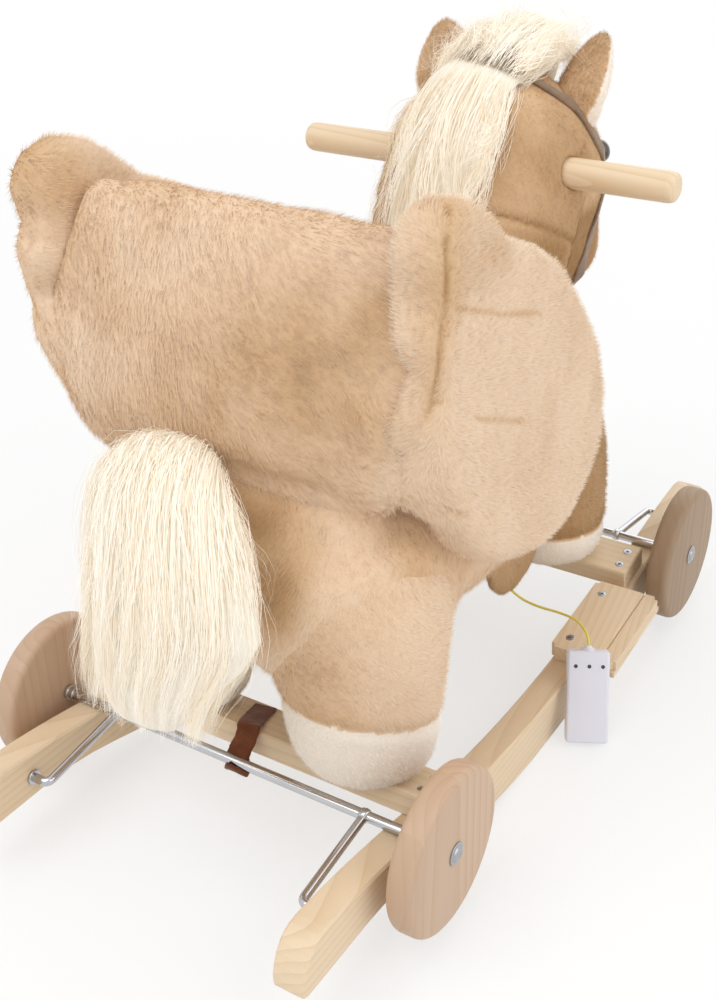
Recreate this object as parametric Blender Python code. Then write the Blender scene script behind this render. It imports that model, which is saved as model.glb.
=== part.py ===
"""Ride-on plush horse on wooden rockers, with two wheel frames that fold over the rocker ends.

Metres. +Z is up, the horse faces -Y, its left is +X. The origin is the point on the
ground below the middle of the toy.
"""
import math

import bmesh
import bpy
from mathutils import Matrix, Vector

# Fits
FIT_GAP = 0.0003
SLIDE_GAP = 0.0003

# Rockers
ROCKER_HALF_LENGTH = 0.358
ROCKER_INNER_X = 0.127
ROCKER_THICK = 0.024
ROCKER_MID_DEPTH = 0.0419
ROCKER_TOP_RADIUS = 0.90
ROCKER_TOP_ARC_END = 0.19
ROCKER_TIP_LENGTH = 0.028
ROCKER_TIP_TOP = 0.0825
ROCKER_TIP_SLOPE = 0.06
ROCKER_BASE_RADIUS = 0.70
ROCKER_BASE_ARC_END = 0.17
ROCKER_FLAT = 0.030
HEEL_START = 0.285
HEEL_HEIGHT = 0.043
HEEL_CORNER = 0.005
ROCKER_EASE = 0.0015

# Crossbars
BAR_Y = 0.182
BAR_DEPTH = 0.040
BAR_THICK = 0.019
BAR_END_INSET = 0.004
BAR_EASE = 0.0012

# Footrests
FOOT_Y = -0.1003
FOOT_LENGTH = 0.099
FOOT_THICK = 0.014
FOOT_BOARD_WIDTH = 0.0439
FOOT_STRIP_WIDTH = 0.0139
FOOT_LIP = 0.005
FOOT_OVERHANG = 0.0012
FOOT_GROOVE = 0.0015
FOOT_CORNER = 0.004
FOOT_SCREW_PITCH = 0.0665

# Wood screws and leg bolts
SCREW_HEAD_R = 0.004
SCREW_SHANK_R = 0.002
SCREW_HEAD_DEPTH = 0.0026
SCREW_BITE = 0.014
BAR_SCREW_PITCH = 0.018
SCREW_INSET = 0.010
BOLT_R = 0.003
BOLT_HEAD_R = 0.0065
BOLT_HEAD_THICK = 0.0028
BOLT_BITE = 0.030

# Wheel frames
AXLE_Y = 0.2245
AXLE_R = 0.004
AXLE_REST_HALF = 0.006
PIVOT_Y = 0.3033
PIVOT_Z = 0.0606
ARM_R = 0.0035
ARM_ROOT_X = 0.112
ARM_PIN_BITE = 0.012
ARM_BEND_R = 0.007
WASHER_R = 0.006
WASHER_THICK = 0.0022
COLLAR_R = 0.006
COLLAR_LENGTH = 0.008

# Wheels
WHEEL_R = 0.061
WHEEL_WIDTH = 0.020
WHEEL_ROUND = 0.006
WHEEL_X = 0.1736
CAP_R = 0.0085
CAP_THICK = 0.0027

# Grip dowel
GRIP_R = 0.012
GRIP_HALF = 0.1660
GRIP_Y = -0.1426
GRIP_Z = 0.4299

# Plush body
TORSO_HALF_WIDTH = 0.125
TORSO_MID_Z = 0.216
TORSO_HALF_HEIGHT = 0.103
CHEST_Y = -0.206
RUMP_Y = 0.248
LEG_REAR_X = 0.082
LEG_REAR_Y = 0.178
LEG_REAR_R = 0.063
LEG_FRONT_X = 0.066
LEG_FRONT_Y = -0.166
LEG_FRONT_R = 0.050
POST_HALF = 0.013
REAR_POST_TOP = 0.245
FRONT_POST_TOP = 0.235
NECK_POST_WIDTH = 0.042
NECK_POST_DEPTH = 0.032

# Seat back and side wings
BACK_HALF_WIDTH = 0.119
BACK_THICK = 0.050
WING_X = 0.140
WING_THICK = 0.042
WING_TOE_IN = 0.05

# Trim
EYE_R = 0.009
BAND_WIDTH = 0.010
BAND_THICK = 0.0018
STRAP_WIDTH = 0.019
STRAP_THICK = 0.0022

# Sound box and its cable
BOX_LENGTH = 0.076
BOX_WIDTH = 0.0343
BOX_THICK = 0.016
BOX_NECK = 0.004
BOX_EASE = 0.002
BOX_YAW = 28
BOX_LEAN = 26
FLAP_X = -0.080
FLAP_THICK = 0.010
CABLE_ROUTE = ((FLAP_X, -0.0675, 0.0883), (FLAP_X - 0.0006, -0.0676, 0.0860), (-0.0911, -0.0688, 0.0800),
               (-0.1067, -0.0680, 0.0785), (-0.1257, -0.0670, 0.0795), (-0.1434, -0.0590, 0.0830))
CABLE_D = 0.0022

ROCKER_OUTER_X = ROCKER_INNER_X + ROCKER_THICK
BAR_HALF = ROCKER_OUTER_X - BAR_END_INSET
SIDES = (("left", 1), ("right", -1))
ENDS = (("rear", 1), ("front", -1))


def clear_scene():
    for obj in list(bpy.data.objects):
        bpy.data.objects.remove(obj, do_unlink=True)
    for mesh in list(bpy.data.meshes):
        bpy.data.meshes.remove(mesh)


def material(name, rgb, roughness, metallic=0.0):
    mat = bpy.data.materials.new(name)
    mat.use_nodes = True
    shader = mat.node_tree.nodes["Principled BSDF"]
    shader.inputs["Base Color"].default_value = (*rgb, 1.0)
    shader.inputs["Roughness"].default_value = roughness
    shader.inputs["Metallic"].default_value = metallic
    mat.diffuse_color = (*rgb, 1.0)
    return mat


def finish(name, bm, mat, matrix=None, smooth=40.0, parent=None):
    """Make a named object from a bmesh whose faces are turned outwards."""
    bmesh.ops.recalc_face_normals(bm, faces=bm.faces)
    mesh = bpy.data.meshes.new(name)
    bm.to_mesh(mesh)
    bm.free()
    mesh.materials.append(mat)
    mesh.shade_smooth()
    mesh.set_sharp_from_angle(angle=math.radians(smooth))
    obj = bpy.data.objects.new(name, mesh)
    bpy.context.scene.collection.objects.link(obj)
    if matrix is not None:
        obj.matrix_world = matrix
    if parent is not None:
        attach(obj, parent)
    return obj


def empty(name, location, parent=None):
    obj = bpy.data.objects.new(name, None)
    bpy.context.scene.collection.objects.link(obj)
    obj.location = location
    bpy.context.view_layer.update()
    if parent is not None:
        attach(obj, parent)
    return obj


def attach(obj, parent):
    bpy.context.view_layer.update()
    obj.parent = parent
    obj.matrix_parent_inverse = parent.matrix_world.inverted()


def mirrored(bm, side):
    """Reflect a bmesh across x = 0 when side is -1."""
    if side < 0:
        bmesh.ops.scale(bm, vec=(-1, 1, 1), verts=bm.verts)
        bmesh.ops.reverse_faces(bm, faces=bm.faces)
    return bm


def prism(points, x0, x1):
    """Extrude a closed outline of (y, z) points from x0 to x1."""
    bm = bmesh.new()
    face = bm.faces.new([bm.verts.new((x0, y, z)) for y, z in points])
    made = bmesh.ops.extrude_face_region(bm, geom=[face])
    moved = [v for v in made["geom"] if isinstance(v, bmesh.types.BMVert)]
    bmesh.ops.translate(bm, vec=(x1 - x0, 0, 0), verts=moved)
    bmesh.ops.recalc_face_normals(bm, faces=bm.faces)
    return bm


def slab(x0, x1, y0, y1, z0, z1, ease=0.0):
    """A rectangular block with eased edges."""
    bm = bmesh.new()
    size = Matrix.Diagonal((x1 - x0, y1 - y0, z1 - z0, 1))
    place = Matrix.Translation(((x0 + x1) / 2, (y0 + y1) / 2, (z0 + z1) / 2))
    bmesh.ops.create_cube(bm, size=1.0, matrix=place @ size)
    if ease:
        bmesh.ops.bevel(bm, geom=bm.edges[:], offset=ease, segments=1, affect="EDGES")
    return bm


def turned(profile, segments, ring=False):
    """Turn (radius, height) points about Z; ring joins the last point to the first."""
    bm = bmesh.new()
    rows = []
    for radius, height in profile:
        if radius < 1e-7:
            rows.append([bm.verts.new((0, 0, height))])
            continue
        turn = [2 * math.pi * k / segments for k in range(segments)]
        rows.append([bm.verts.new((radius * math.cos(a), radius * math.sin(a), height)) for a in turn])
    pairs = list(zip(rows, rows[1:] + rows[:1])) if ring else list(zip(rows, rows[1:]))
    for low, high in pairs:
        for k in range(segments):
            n = (k + 1) % segments
            corners = [low[k % len(low)], low[n % len(low)], high[n % len(high)], high[k % len(high)]]
            bm.faces.new(list(dict.fromkeys(corners)))
    bmesh.ops.recalc_face_normals(bm, faces=bm.faces)
    return bm


def swept(points, section, up=Vector((0, 0, 1))):
    """Sweep a closed section of (side, up) offsets along a line of points."""
    bm = bmesh.new()
    rows = []
    for i, p in enumerate(points):
        before = points[max(i - 1, 0)]
        after = points[min(i + 1, len(points) - 1)]
        along = (after - before).normalized()
        side = along.cross(up).normalized()
        over = side.cross(along).normalized()
        rows.append([bm.verts.new(p + side * a + over * b) for a, b in section])
    for low, high in zip(rows, rows[1:]):
        for k in range(len(section)):
            n = (k + 1) % len(section)
            bm.faces.new((low[k], low[n], high[n], high[k]))
    bm.faces.new(rows[0])
    bm.faces.new(rows[-1])
    bmesh.ops.recalc_face_normals(bm, faces=bm.faces)
    return bm


def circle(radius, sides):
    turn = [2 * math.pi * (k + 0.5) / sides for k in range(sides)]
    return [(radius * math.cos(a), radius * math.sin(a)) for a in turn]


def lofted(stations, sides, power=2.0):
    """Skin rings of (centre, half width vector, half height vector); ends close on a point."""
    bm = bmesh.new()
    rows = []
    for centre, wide, high in stations:
        if wide.length < 1e-6:
            rows.append([bm.verts.new(centre)])
            continue
        row = []
        for k in range(sides):
            a = 2 * math.pi * (k + 0.5) / sides
            c = math.copysign(abs(math.cos(a)) ** (2 / power), math.cos(a))
            s = math.copysign(abs(math.sin(a)) ** (2 / power), math.sin(a))
            row.append(bm.verts.new(centre + wide * c + high * s))
        rows.append(row)
    for low, high in zip(rows, rows[1:]):
        for k in range(sides):
            n = (k + 1) % sides
            corners = [low[k % len(low)], low[n % len(low)], high[n % len(high)], high[k % len(high)]]
            bm.faces.new(list(dict.fromkeys(corners)))
    bmesh.ops.recalc_face_normals(bm, faces=bm.faces)
    return bm


def puffed(outline, centre, thick, layers=((1.0, 0.42), (0.975, 0.72), (0.90, 0.92), (0.6, 1.0))):
    """A stuffed panel: a flat outline of vectors that swells both ways from its rim."""
    normal = Vector((0, 0, 0))
    for a, b in zip(outline, outline[1:] + outline[:1]):
        normal += (a - centre).cross(b - centre)
    normal.normalize()
    bm = bmesh.new()
    rows = [[bm.verts.new(centre + (p - centre) * s + normal * (thick / 2 * h)) for p in outline]
            for s, h in reversed(layers)]
    rows += [[bm.verts.new(centre + (p - centre) * s - normal * (thick / 2 * h)) for p in outline]
             for s, h in (layers if layers[0][1] else layers[1:])]
    for low, high in zip(rows, rows[1:]):
        for k in range(len(outline)):
            n = (k + 1) % len(outline)
            bm.faces.new((low[k], low[n], high[n], high[k]))
    for row, h in ((rows[0], 1), (rows[-1], -1)):
        tip = bm.verts.new(centre + normal * (thick / 2 * h * 1.04))
        for k in range(len(outline)):
            bm.faces.new((row[k], row[(k + 1) % len(outline)], tip))
    bmesh.ops.recalc_face_normals(bm, faces=bm.faces)
    return bm


def smooth_closed(points, per_side=2):
    """A Catmull-Rom curve through the points of a closed outline."""
    out = []
    count = len(points)
    for i in range(count):
        p0, p1, p2, p3 = (Vector(points[(i + k - 1) % count]) for k in range(4))
        for j in range(per_side):
            out.append(catmull(p0, p1, p2, p3, j / per_side))
    return out


def smooth_open(points, per_side):
    out = []
    count = len(points)
    for i in range(count - 1):
        p0, p1 = Vector(points[max(i - 1, 0)]), Vector(points[i])
        p2, p3 = Vector(points[i + 1]), Vector(points[min(i + 2, count - 1)])
        for j in range(per_side):
            out.append(catmull(p0, p1, p2, p3, j / per_side))
    out.append(Vector(points[-1]))
    return out


def catmull(p0, p1, p2, p3, t):
    return 0.5 * (2 * p1 + (p2 - p0) * t + (2 * p0 - 5 * p1 + 4 * p2 - p3) * t ** 2
                  + (3 * p1 - p0 - 3 * p2 + p3) * t ** 3)


def hermite(y, y0, z0, s0, y1, z1, s1):
    w = y1 - y0
    t = (y - y0) / w
    return ((2 * t ** 3 - 3 * t ** 2 + 1) * z0 + (t ** 3 - 2 * t ** 2 + t) * w * s0
            + (3 * t ** 2 - 2 * t ** 3) * z1 + (t ** 3 - t ** 2) * w * s1)


def grown(obj, gap):
    """A cutter that stands off an object's surface by a gap."""
    mesh = baked_mesh(obj)
    bm = bmesh.new()
    bm.from_mesh(mesh)
    bpy.data.meshes.remove(mesh)
    bm.normal_update()
    shift = {v: v.calc_shell_factor() for v in bm.verts}
    for v in bm.verts:
        v.co += v.normal * gap * min(shift[v], 2.0)
    cutter = finish("cutter", bm, obj.data.materials[0], obj.matrix_world.copy())
    cutter.hide_render = True
    cutter.display_type = "WIRE"
    return cutter


def baked_mesh(obj):
    bpy.context.view_layer.update()
    graph = bpy.context.evaluated_depsgraph_get()
    return bpy.data.meshes.new_from_object(obj.evaluated_get(graph))


def combine(obj, others, operation="DIFFERENCE", keep=False):
    """Apply exact Booleans, weld hairline edges and keep the main solid."""
    for other in others:
        mod = obj.modifiers.new("cut", "BOOLEAN")
        mod.operation = operation
        mod.object = other
        mod.solver = "EXACT"
    mesh = baked_mesh(obj)
    obj.modifiers.clear()
    for weld in (0.00004, 0.00001, 0.000002, 0.0):
        bm = bmesh.new()
        bm.from_mesh(mesh)
        bmesh.ops.triangulate(bm, faces=bm.faces[:])
        if weld:
            bmesh.ops.remove_doubles(bm, verts=bm.verts, dist=weld)
        keep_largest(bm)
        if all(len(edge.link_faces) == 2 for edge in bm.edges):
            break
        if weld:
            bm.free()
    bpy.data.meshes.remove(mesh)
    bm.to_mesh(obj.data)
    bm.free()
    obj.data.shade_smooth()
    obj.data.set_sharp_from_angle(angle=math.radians(40))
    if not keep:
        for other in others:
            bpy.data.objects.remove(other, do_unlink=True)
    return obj


def keep_largest(bm):
    """Drop the offcuts that a cut leaves beside the main solid."""
    left = set(bm.faces)
    islands = []
    while left:
        stack = [left.pop()]
        island = set(stack)
        while stack:
            for edge in stack.pop().edges:
                for face in edge.link_faces:
                    if face in left:
                        left.discard(face)
                        island.add(face)
                        stack.append(face)
        islands.append(island)
    islands.sort(key=lambda faces: -sum(f.calc_area() for f in faces))
    spare = [f for island in islands[1:] for f in island]
    if spare:
        bmesh.ops.delete(bm, geom=spare, context="FACES")
    loose = [v for v in bm.verts if not v.link_faces]
    if loose:
        bmesh.ops.delete(bm, geom=loose, context="VERTS")


def cutter(bm, matrix=None):
    obj = finish("cutter", bm, MATS["steel"], matrix)
    obj.hide_render = True
    obj.display_type = "WIRE"
    return obj


def along_x(x, y, z):
    """A frame whose Z axis runs along +X from a point."""
    return Matrix.Translation((x, y, z)) @ Matrix.Rotation(math.pi / 2, 4, "Y")


def drill(matrix, radius, low, high, sides=12):
    """A straight cutter for a hole, along its frame's Z axis."""
    return cutter(turned([(0, low), (radius, low), (radius, high), (0, high)], sides), matrix)


def rocker_top(y):
    y = abs(y)
    reach = min(y, ROCKER_TOP_ARC_END)
    arc = ROCKER_MID_DEPTH + ROCKER_TOP_RADIUS - math.sqrt(ROCKER_TOP_RADIUS ** 2 - reach ** 2)
    if y <= ROCKER_TOP_ARC_END:
        return arc
    slope = ROCKER_TOP_ARC_END / math.sqrt(ROCKER_TOP_RADIUS ** 2 - ROCKER_TOP_ARC_END ** 2)
    tip = ROCKER_HALF_LENGTH - ROCKER_TIP_LENGTH
    return hermite(y, ROCKER_TOP_ARC_END, arc, slope, tip, ROCKER_TIP_TOP, ROCKER_TIP_SLOPE)


def rocker_base(y):
    y = abs(y)
    rise = ROCKER_BASE_RADIUS - math.sqrt(ROCKER_BASE_RADIUS ** 2 - ROCKER_FLAT ** 2)
    if y <= ROCKER_FLAT:
        return 0.0
    if y <= ROCKER_BASE_ARC_END:
        return ROCKER_BASE_RADIUS - math.sqrt(ROCKER_BASE_RADIUS ** 2 - y ** 2) - rise
    arc = ROCKER_BASE_RADIUS - math.sqrt(ROCKER_BASE_RADIUS ** 2 - ROCKER_BASE_ARC_END ** 2) - rise
    slope = ROCKER_BASE_ARC_END / math.sqrt(ROCKER_BASE_RADIUS ** 2 - ROCKER_BASE_ARC_END ** 2)
    if y <= HEEL_START:
        return hermite(y, ROCKER_BASE_ARC_END, arc, slope, HEEL_START, HEEL_HEIGHT, 0.0)
    return HEEL_HEIGHT


def seat(centre, half):
    """Frame on the straight facet that a piece of 2 * half depth makes on the rocker top."""
    y0, y1 = centre - half, centre + half
    z0, z1 = rocker_top(y0), rocker_top(y1)
    place = Matrix.Translation((0, centre, (z0 + z1) / 2))
    return place @ Matrix.Rotation(math.atan2(z1 - z0, y1 - y0), 4, "X")


def rocker_outline():
    """Closed outline, top from front to rear and base back again, with a facet at each seat."""
    breaks = []
    for y, half in ((AXLE_Y, AXLE_REST_HALF), (-AXLE_Y, AXLE_REST_HALF), (BAR_Y, BAR_DEPTH / 2 + 0.001),
                    (-BAR_Y, BAR_DEPTH / 2 + 0.001), (FOOT_Y, FOOT_LENGTH / 2)):
        breaks.append((y - half, y + half))
    tip = ROCKER_HALF_LENGTH - ROCKER_TIP_LENGTH
    steps = [-tip + 2 * tip * k / 44 for k in range(45)]
    tops = [y for y in steps if not any(a - 0.004 < y < b + 0.004 for a, b in breaks)]
    tops = sorted(tops + [y for pair in breaks for y in pair])
    top = [(y, rocker_top(y)) for y in tops]
    nose = []
    for k in range(1, 7):
        t = k / 6
        a, b, c = (1 - t) ** 2, 2 * t * (1 - t), t ** 2
        y = a * tip + b * (tip + 0.82 * ROCKER_TIP_LENGTH) + c * ROCKER_HALF_LENGTH
        z = a * ROCKER_TIP_TOP + b * (ROCKER_TIP_TOP + 0.0005) + c * (HEEL_HEIGHT + 0.011)
        nose.append((y, z))
    corner = []
    for k in range(4):
        a = math.radians(-30 * k)
        corner.append((ROCKER_HALF_LENGTH - HEEL_CORNER + HEEL_CORNER * math.cos(a),
                       HEEL_HEIGHT + HEEL_CORNER + HEEL_CORNER * math.sin(a)))
    rear = nose + corner
    front = [(-y, z) for y, z in reversed(rear)]
    rises = [HEEL_START + (ROCKER_BASE_ARC_END - HEEL_START) * k / 5 for k in range(6)]
    rises += [ROCKER_BASE_ARC_END + (ROCKER_FLAT - ROCKER_BASE_ARC_END) * k / 6 for k in range(1, 6)]
    base = [(y, rocker_base(y)) for y in rises] + [(ROCKER_FLAT, 0.0)]
    base += [(-y, z) for y, z in reversed(base)]
    return top + rear + base + front


def build_rockers(seats):
    rockers = {}
    outline = rocker_outline()
    for side, s in SIDES:
        bm = mirrored(prism(outline, ROCKER_INNER_X, ROCKER_OUTER_X), s)
        obj = finish("rocker_" + side, bm, MATS["pine"])
        ease = obj.modifiers.new("ease", "BEVEL")
        ease.width = ROCKER_EASE
        ease.segments = 1
        ease.limit_method = "ANGLE"
        ease.angle_limit = math.radians(50)
        holes = []
        for end, e in ENDS:
            pin = along_x(s * (ROCKER_INNER_X - 0.005), e * PIVOT_Y, PIVOT_Z)
            reach = ARM_PIN_BITE + 0.005 + 0.001
            holes.append(drill(pin, ARM_R + SLIDE_GAP, min(0, s * reach), max(0, s * reach)))
            for k in (-1, 1):
                holes.append(pilot(seats["bar_" + end], s, k * BAR_SCREW_PITCH / 2))
        for k in (-1, 1):
            holes.append(pilot(seats["foot"], s, k * FOOT_SCREW_PITCH / 2))
        rockers[side] = combine(obj, holes)
    return rockers


def pilot(frame, s, along):
    spot = Matrix.Translation((s * (BAR_HALF - SCREW_INSET), along, 0))
    return drill(frame @ spot, SCREW_SHANK_R + FIT_GAP, -SCREW_BITE - 0.001, 0.01, 10)


def screw_hole(frame, top):
    """Clearance hole with a countersink for a wood screw whose head is flush at height top."""
    r = SCREW_SHANK_R + FIT_GAP
    head = SCREW_HEAD_R + FIT_GAP
    over = top + 0.005
    shape = [(0, -0.01), (r, -0.01), (r, top - SCREW_HEAD_DEPTH), (head, top), (head, over), (0, over)]
    return cutter(turned(shape, 10), frame)


def wood_screw(name, frame, top):
    r = SCREW_SHANK_R
    dip = 0.0002
    shape = [(0, -SCREW_BITE), (r * 0.5, -SCREW_BITE + 0.002), (r, -SCREW_BITE + 0.004),
             (r, top - SCREW_HEAD_DEPTH - dip), (SCREW_HEAD_R, top - dip), (0, top - dip)]
    return finish(name, turned(shape, 10), MATS["steel"], frame)


def build_crossbars(seats, posts):
    top = FIT_GAP + BAR_THICK
    for end, e in ENDS:
        frame = seats["bar_" + end]
        bm = slab(-BAR_HALF, BAR_HALF, -BAR_DEPTH / 2, BAR_DEPTH / 2, FIT_GAP, top, BAR_EASE)
        bar = finish("crossbar_" + end, bm, MATS["pine"], frame)
        holes = []
        for side, s in SIDES:
            for k, mark in ((-1, "a"), (1, "b")):
                spot = Matrix.Translation((s * (BAR_HALF - SCREW_INSET), k * BAR_SCREW_PITCH / 2, 0))
                wood_screw("screw_bar_" + end + "_" + side + "_" + mark, frame @ spot, top)
                holes.append(screw_hole(frame @ spot, top))
            spot = Matrix.Translation((s * posts[end], 0, 0))
            tip = FIT_GAP + BAR_THICK + BOLT_BITE
            shape = [(0, tip), (BOLT_R, tip), (BOLT_R, 0.0), (BOLT_HEAD_R, 0.0),
                     (BOLT_HEAD_R * 0.8, -BOLT_HEAD_THICK), (0, -BOLT_HEAD_THICK)]
            finish("leg_bolt_" + end + "_" + side, turned(shape, 10), MATS["steel"], frame @ spot)
            holes.append(drill(frame @ spot, BOLT_R + FIT_GAP, -0.01, 0.04, 10))
        combine(bar, holes)


def build_footrests(seats):
    frame = seats["foot"]
    top = FIT_GAP + FOOT_THICK
    inner = ROCKER_INNER_X - FOOT_OVERHANG
    joint = inner + FOOT_BOARD_WIDTH
    outer = joint + FOOT_STRIP_WIDTH
    half = FOOT_LENGTH / 2
    for side, s in SIDES:
        bm = bmesh.new()
        lip = FIT_GAP + FOOT_LIP
        section = [(inner, FIT_GAP), (outer, FIT_GAP), (outer, lip), (joint, lip),
                   (joint, top - FOOT_GROOVE), (joint - FOOT_GROOVE, top), (inner, top)]
        face = bm.faces.new([bm.verts.new((x, -half, z)) for x, z in section])
        made = bmesh.ops.extrude_face_region(bm, geom=[face])
        moved = [v for v in made["geom"] if isinstance(v, bmesh.types.BMVert)]
        bmesh.ops.translate(bm, vec=(0, 2 * half, 0), verts=moved)
        uprights = [e for e in bm.edges
                    if abs(e.verts[0].co.x - inner) < 1e-6 and abs(e.verts[1].co.x - inner) < 1e-6
                    and abs(e.verts[0].co.y - e.verts[1].co.y) < 1e-6]
        bmesh.ops.bevel(bm, geom=uprights, offset=FOOT_CORNER, segments=3, affect="EDGES")
        board = finish("footrest_board_" + side, mirrored(bm, s), MATS["pine"], frame)
        holes = []
        for k, mark in ((-1, "a"), (1, "b")):
            spot = Matrix.Translation((s * (BAR_HALF - SCREW_INSET), k * FOOT_SCREW_PITCH / 2, 0))
            wood_screw("screw_footrest_" + side + "_" + mark, frame @ spot, top)
            holes.append(screw_hole(frame @ spot, top))
        combine(board, holes)
        strip = bmesh.new()
        low = FIT_GAP + FOOT_LIP + FIT_GAP
        section = [(joint + FIT_GAP, low), (outer, low), (outer, top), (joint + FIT_GAP + FOOT_GROOVE, top),
                   (joint + FIT_GAP, top - FOOT_GROOVE)]
        face = strip.faces.new([strip.verts.new((x, -half, z)) for x, z in section])
        made = bmesh.ops.extrude_face_region(strip, geom=[face])
        moved = [v for v in made["geom"] if isinstance(v, bmesh.types.BMVert)]
        bmesh.ops.translate(strip, vec=(0, 2 * half, 0), verts=moved)
        uprights = [e for e in strip.edges
                    if abs(e.verts[0].co.x - outer) < 1e-6 and abs(e.verts[1].co.x - outer) < 1e-6
                    and abs(e.verts[0].co.y - e.verts[1].co.y) < 1e-6]
        bmesh.ops.bevel(strip, geom=uprights, offset=FOOT_CORNER, segments=3, affect="EDGES")
        finish("footrest_strip_" + side, mirrored(strip, s), MATS["pine"], frame)


def build_wheel_frames(seats):
    axle_of = {}
    inner_face = WHEEL_X - WHEEL_WIDTH / 2
    rod_end = WHEEL_X + WHEEL_WIDTH / 2 + FIT_GAP + CAP_THICK - 0.0015
    for end, e in ENDS:
        axle = seats["axle_" + end] @ Vector((0, 0, FIT_GAP + AXLE_R))
        swing = empty("swing_" + end, (0, e * PIVOT_Y, PIVOT_Z))
        bar = turned([(0, -rod_end), (AXLE_R, -rod_end), (AXLE_R, rod_end), (0, rod_end)], 12)
        rod = finish("axle_frame_" + end, bar, MATS["chrome"], along_x(0, axle.y, axle.z))
        extras = []
        for side, s in SIDES:
            root = Vector((s * ARM_ROOT_X, axle.y, axle.z))
            bend = Vector((s * (ROCKER_INNER_X - WASHER_THICK - 0.0055), e * PIVOT_Y, PIVOT_Z))
            tip = Vector((s * (ROCKER_INNER_X + ARM_PIN_BITE), e * PIVOT_Y, PIVOT_Z))
            knee = Vector((bend.x - s * ARM_BEND_R, bend.y, bend.z))
            toward = (root - knee).normalized()
            line = [root, root.lerp(knee, 0.45)]
            start = knee + toward * ARM_BEND_R * 0.7
            stop = knee + Vector((s * ARM_BEND_R * 0.7, 0, 0))
            for k in range(5):
                t = k / 4
                line.append(start * (1 - t) ** 2 + knee * 2 * t * (1 - t) + stop * t ** 2)
            line.append(tip)
            extras.append(cutter(swept(line, circle(ARM_R, 8))))
            pin = along_x(0, e * PIVOT_Y, PIVOT_Z)
            extras.append(disc(pin, s, WASHER_R, ROCKER_INNER_X - FIT_GAP, WASHER_THICK))
            extras.append(disc(along_x(0, axle.y, axle.z), s, COLLAR_R, inner_face - SLIDE_GAP, COLLAR_LENGTH))
        combine(rod, extras, "UNION")
        rebase(rod, (0, e * PIVOT_Y, PIVOT_Z))
        attach(rod, swing)
        for side, s in SIDES:
            spin = empty("spin_" + end + "_" + side, (s * WHEEL_X, axle.y, axle.z), swing)
            build_wheel(end + "_" + side, s, axle, spin, swing)
        axle_of[end] = axle
    return axle_of


def disc(frame, s, radius, face, length):
    """A round boss that ends at a face and runs inwards from it."""
    profile = [(0, face - length), (radius, face - length), (radius, face), (0, face)]
    return cutter(turned([(r, s * h) for r, h in profile], 12), frame)


def build_wheel(tag, s, axle, spin, swing):
    bore = AXLE_R + SLIDE_GAP
    half = WHEEL_WIDTH / 2
    profile = [(bore, -half)]
    for k in range(4):
        a = math.radians(90 * k / 3)
        profile.append((WHEEL_R - WHEEL_ROUND + WHEEL_ROUND * math.sin(a),
                        -half + WHEEL_ROUND * (1 - math.cos(a))))
    profile += [(r, -h) for r, h in reversed(profile[1:])]
    profile.append((bore, half))
    frame = along_x(s * WHEEL_X, axle.y, axle.z)
    finish("wheel_" + tag, turned(profile, 32, ring=True), MATS["pine"], frame, parent=spin)
    base = WHEEL_X + half + SLIDE_GAP
    tip = base + CAP_THICK
    seat_r = AXLE_R + FIT_GAP
    profile = [(0, tip - 0.0012), (seat_r, tip - 0.0012), (seat_r, base), (CAP_R, base),
               (CAP_R, base + 0.0008), (CAP_R * 0.86, base + 0.0018), (CAP_R * 0.55, tip - 0.0002), (0, tip)]
    cap = turned([(r, s * h) for r, h in profile], 12)
    finish("hub_cap_" + tag, cap, MATS["chrome"], along_x(0, axle.y, axle.z), parent=swing)


def rebase(obj, origin):
    """Move an object's origin without moving its shape."""
    target = Matrix.Translation(origin)
    obj.data.transform(target.inverted() @ obj.matrix_world)
    obj.matrix_world = target


def ring(x, y, z, half_x, half_up, tilt=0.0):
    """Loft station facing along Y: half width on X, half height on Z tipped by tilt."""
    up = Vector((0, -math.sin(tilt), math.cos(tilt)))
    return Vector((x, y, z)), Vector((half_x, 0, 0)), up * half_up


def build_torso():
    w, h, z = TORSO_HALF_WIDTH, TORSO_HALF_HEIGHT, TORSO_MID_Z
    length = RUMP_Y - CHEST_Y
    shares = [(0.0, 0.0, 0.0, 0.040), (0.02, 0.38, 0.36, 0.038), (0.07, 0.64, 0.64, 0.028),
              (0.15, 0.82, 0.88, 0.014), (0.27, 0.91, 1.04, 0.002), (0.42, 0.96, 1.04, 0.0),
              (0.57, 0.98, 0.96, 0.006), (0.72, 1.0, 0.90, 0.014), (0.84, 0.98, 0.84, 0.020),
              (0.92, 0.86, 0.74, 0.025), (0.97, 0.64, 0.54, 0.030), (0.993, 0.34, 0.28, 0.034),
              (1.0, 0.0, 0.0, 0.036)]
    stations = [ring(0, CHEST_Y + length * t, z + lift, w * a, h * b) for t, a, b, lift in shares]
    return finish("torso", lofted(stations, 20, 2.2), MATS["plush"])


def leg(name, s, stations, sides=16):
    rows = []
    for x, y, z, rx, ry in stations:
        rows.append((Vector((s * x, y, z)), Vector((s * rx, 0, 0)), Vector((0, ry, 0))))
    first, last = rows[0][0], rows[-1][0]
    none = Vector((0, 0, 0))
    rows = [(first, none, none)] + rows + [(last, none, none)]
    return finish(name, lofted(rows, sides), MATS["plush_pale"])


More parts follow.
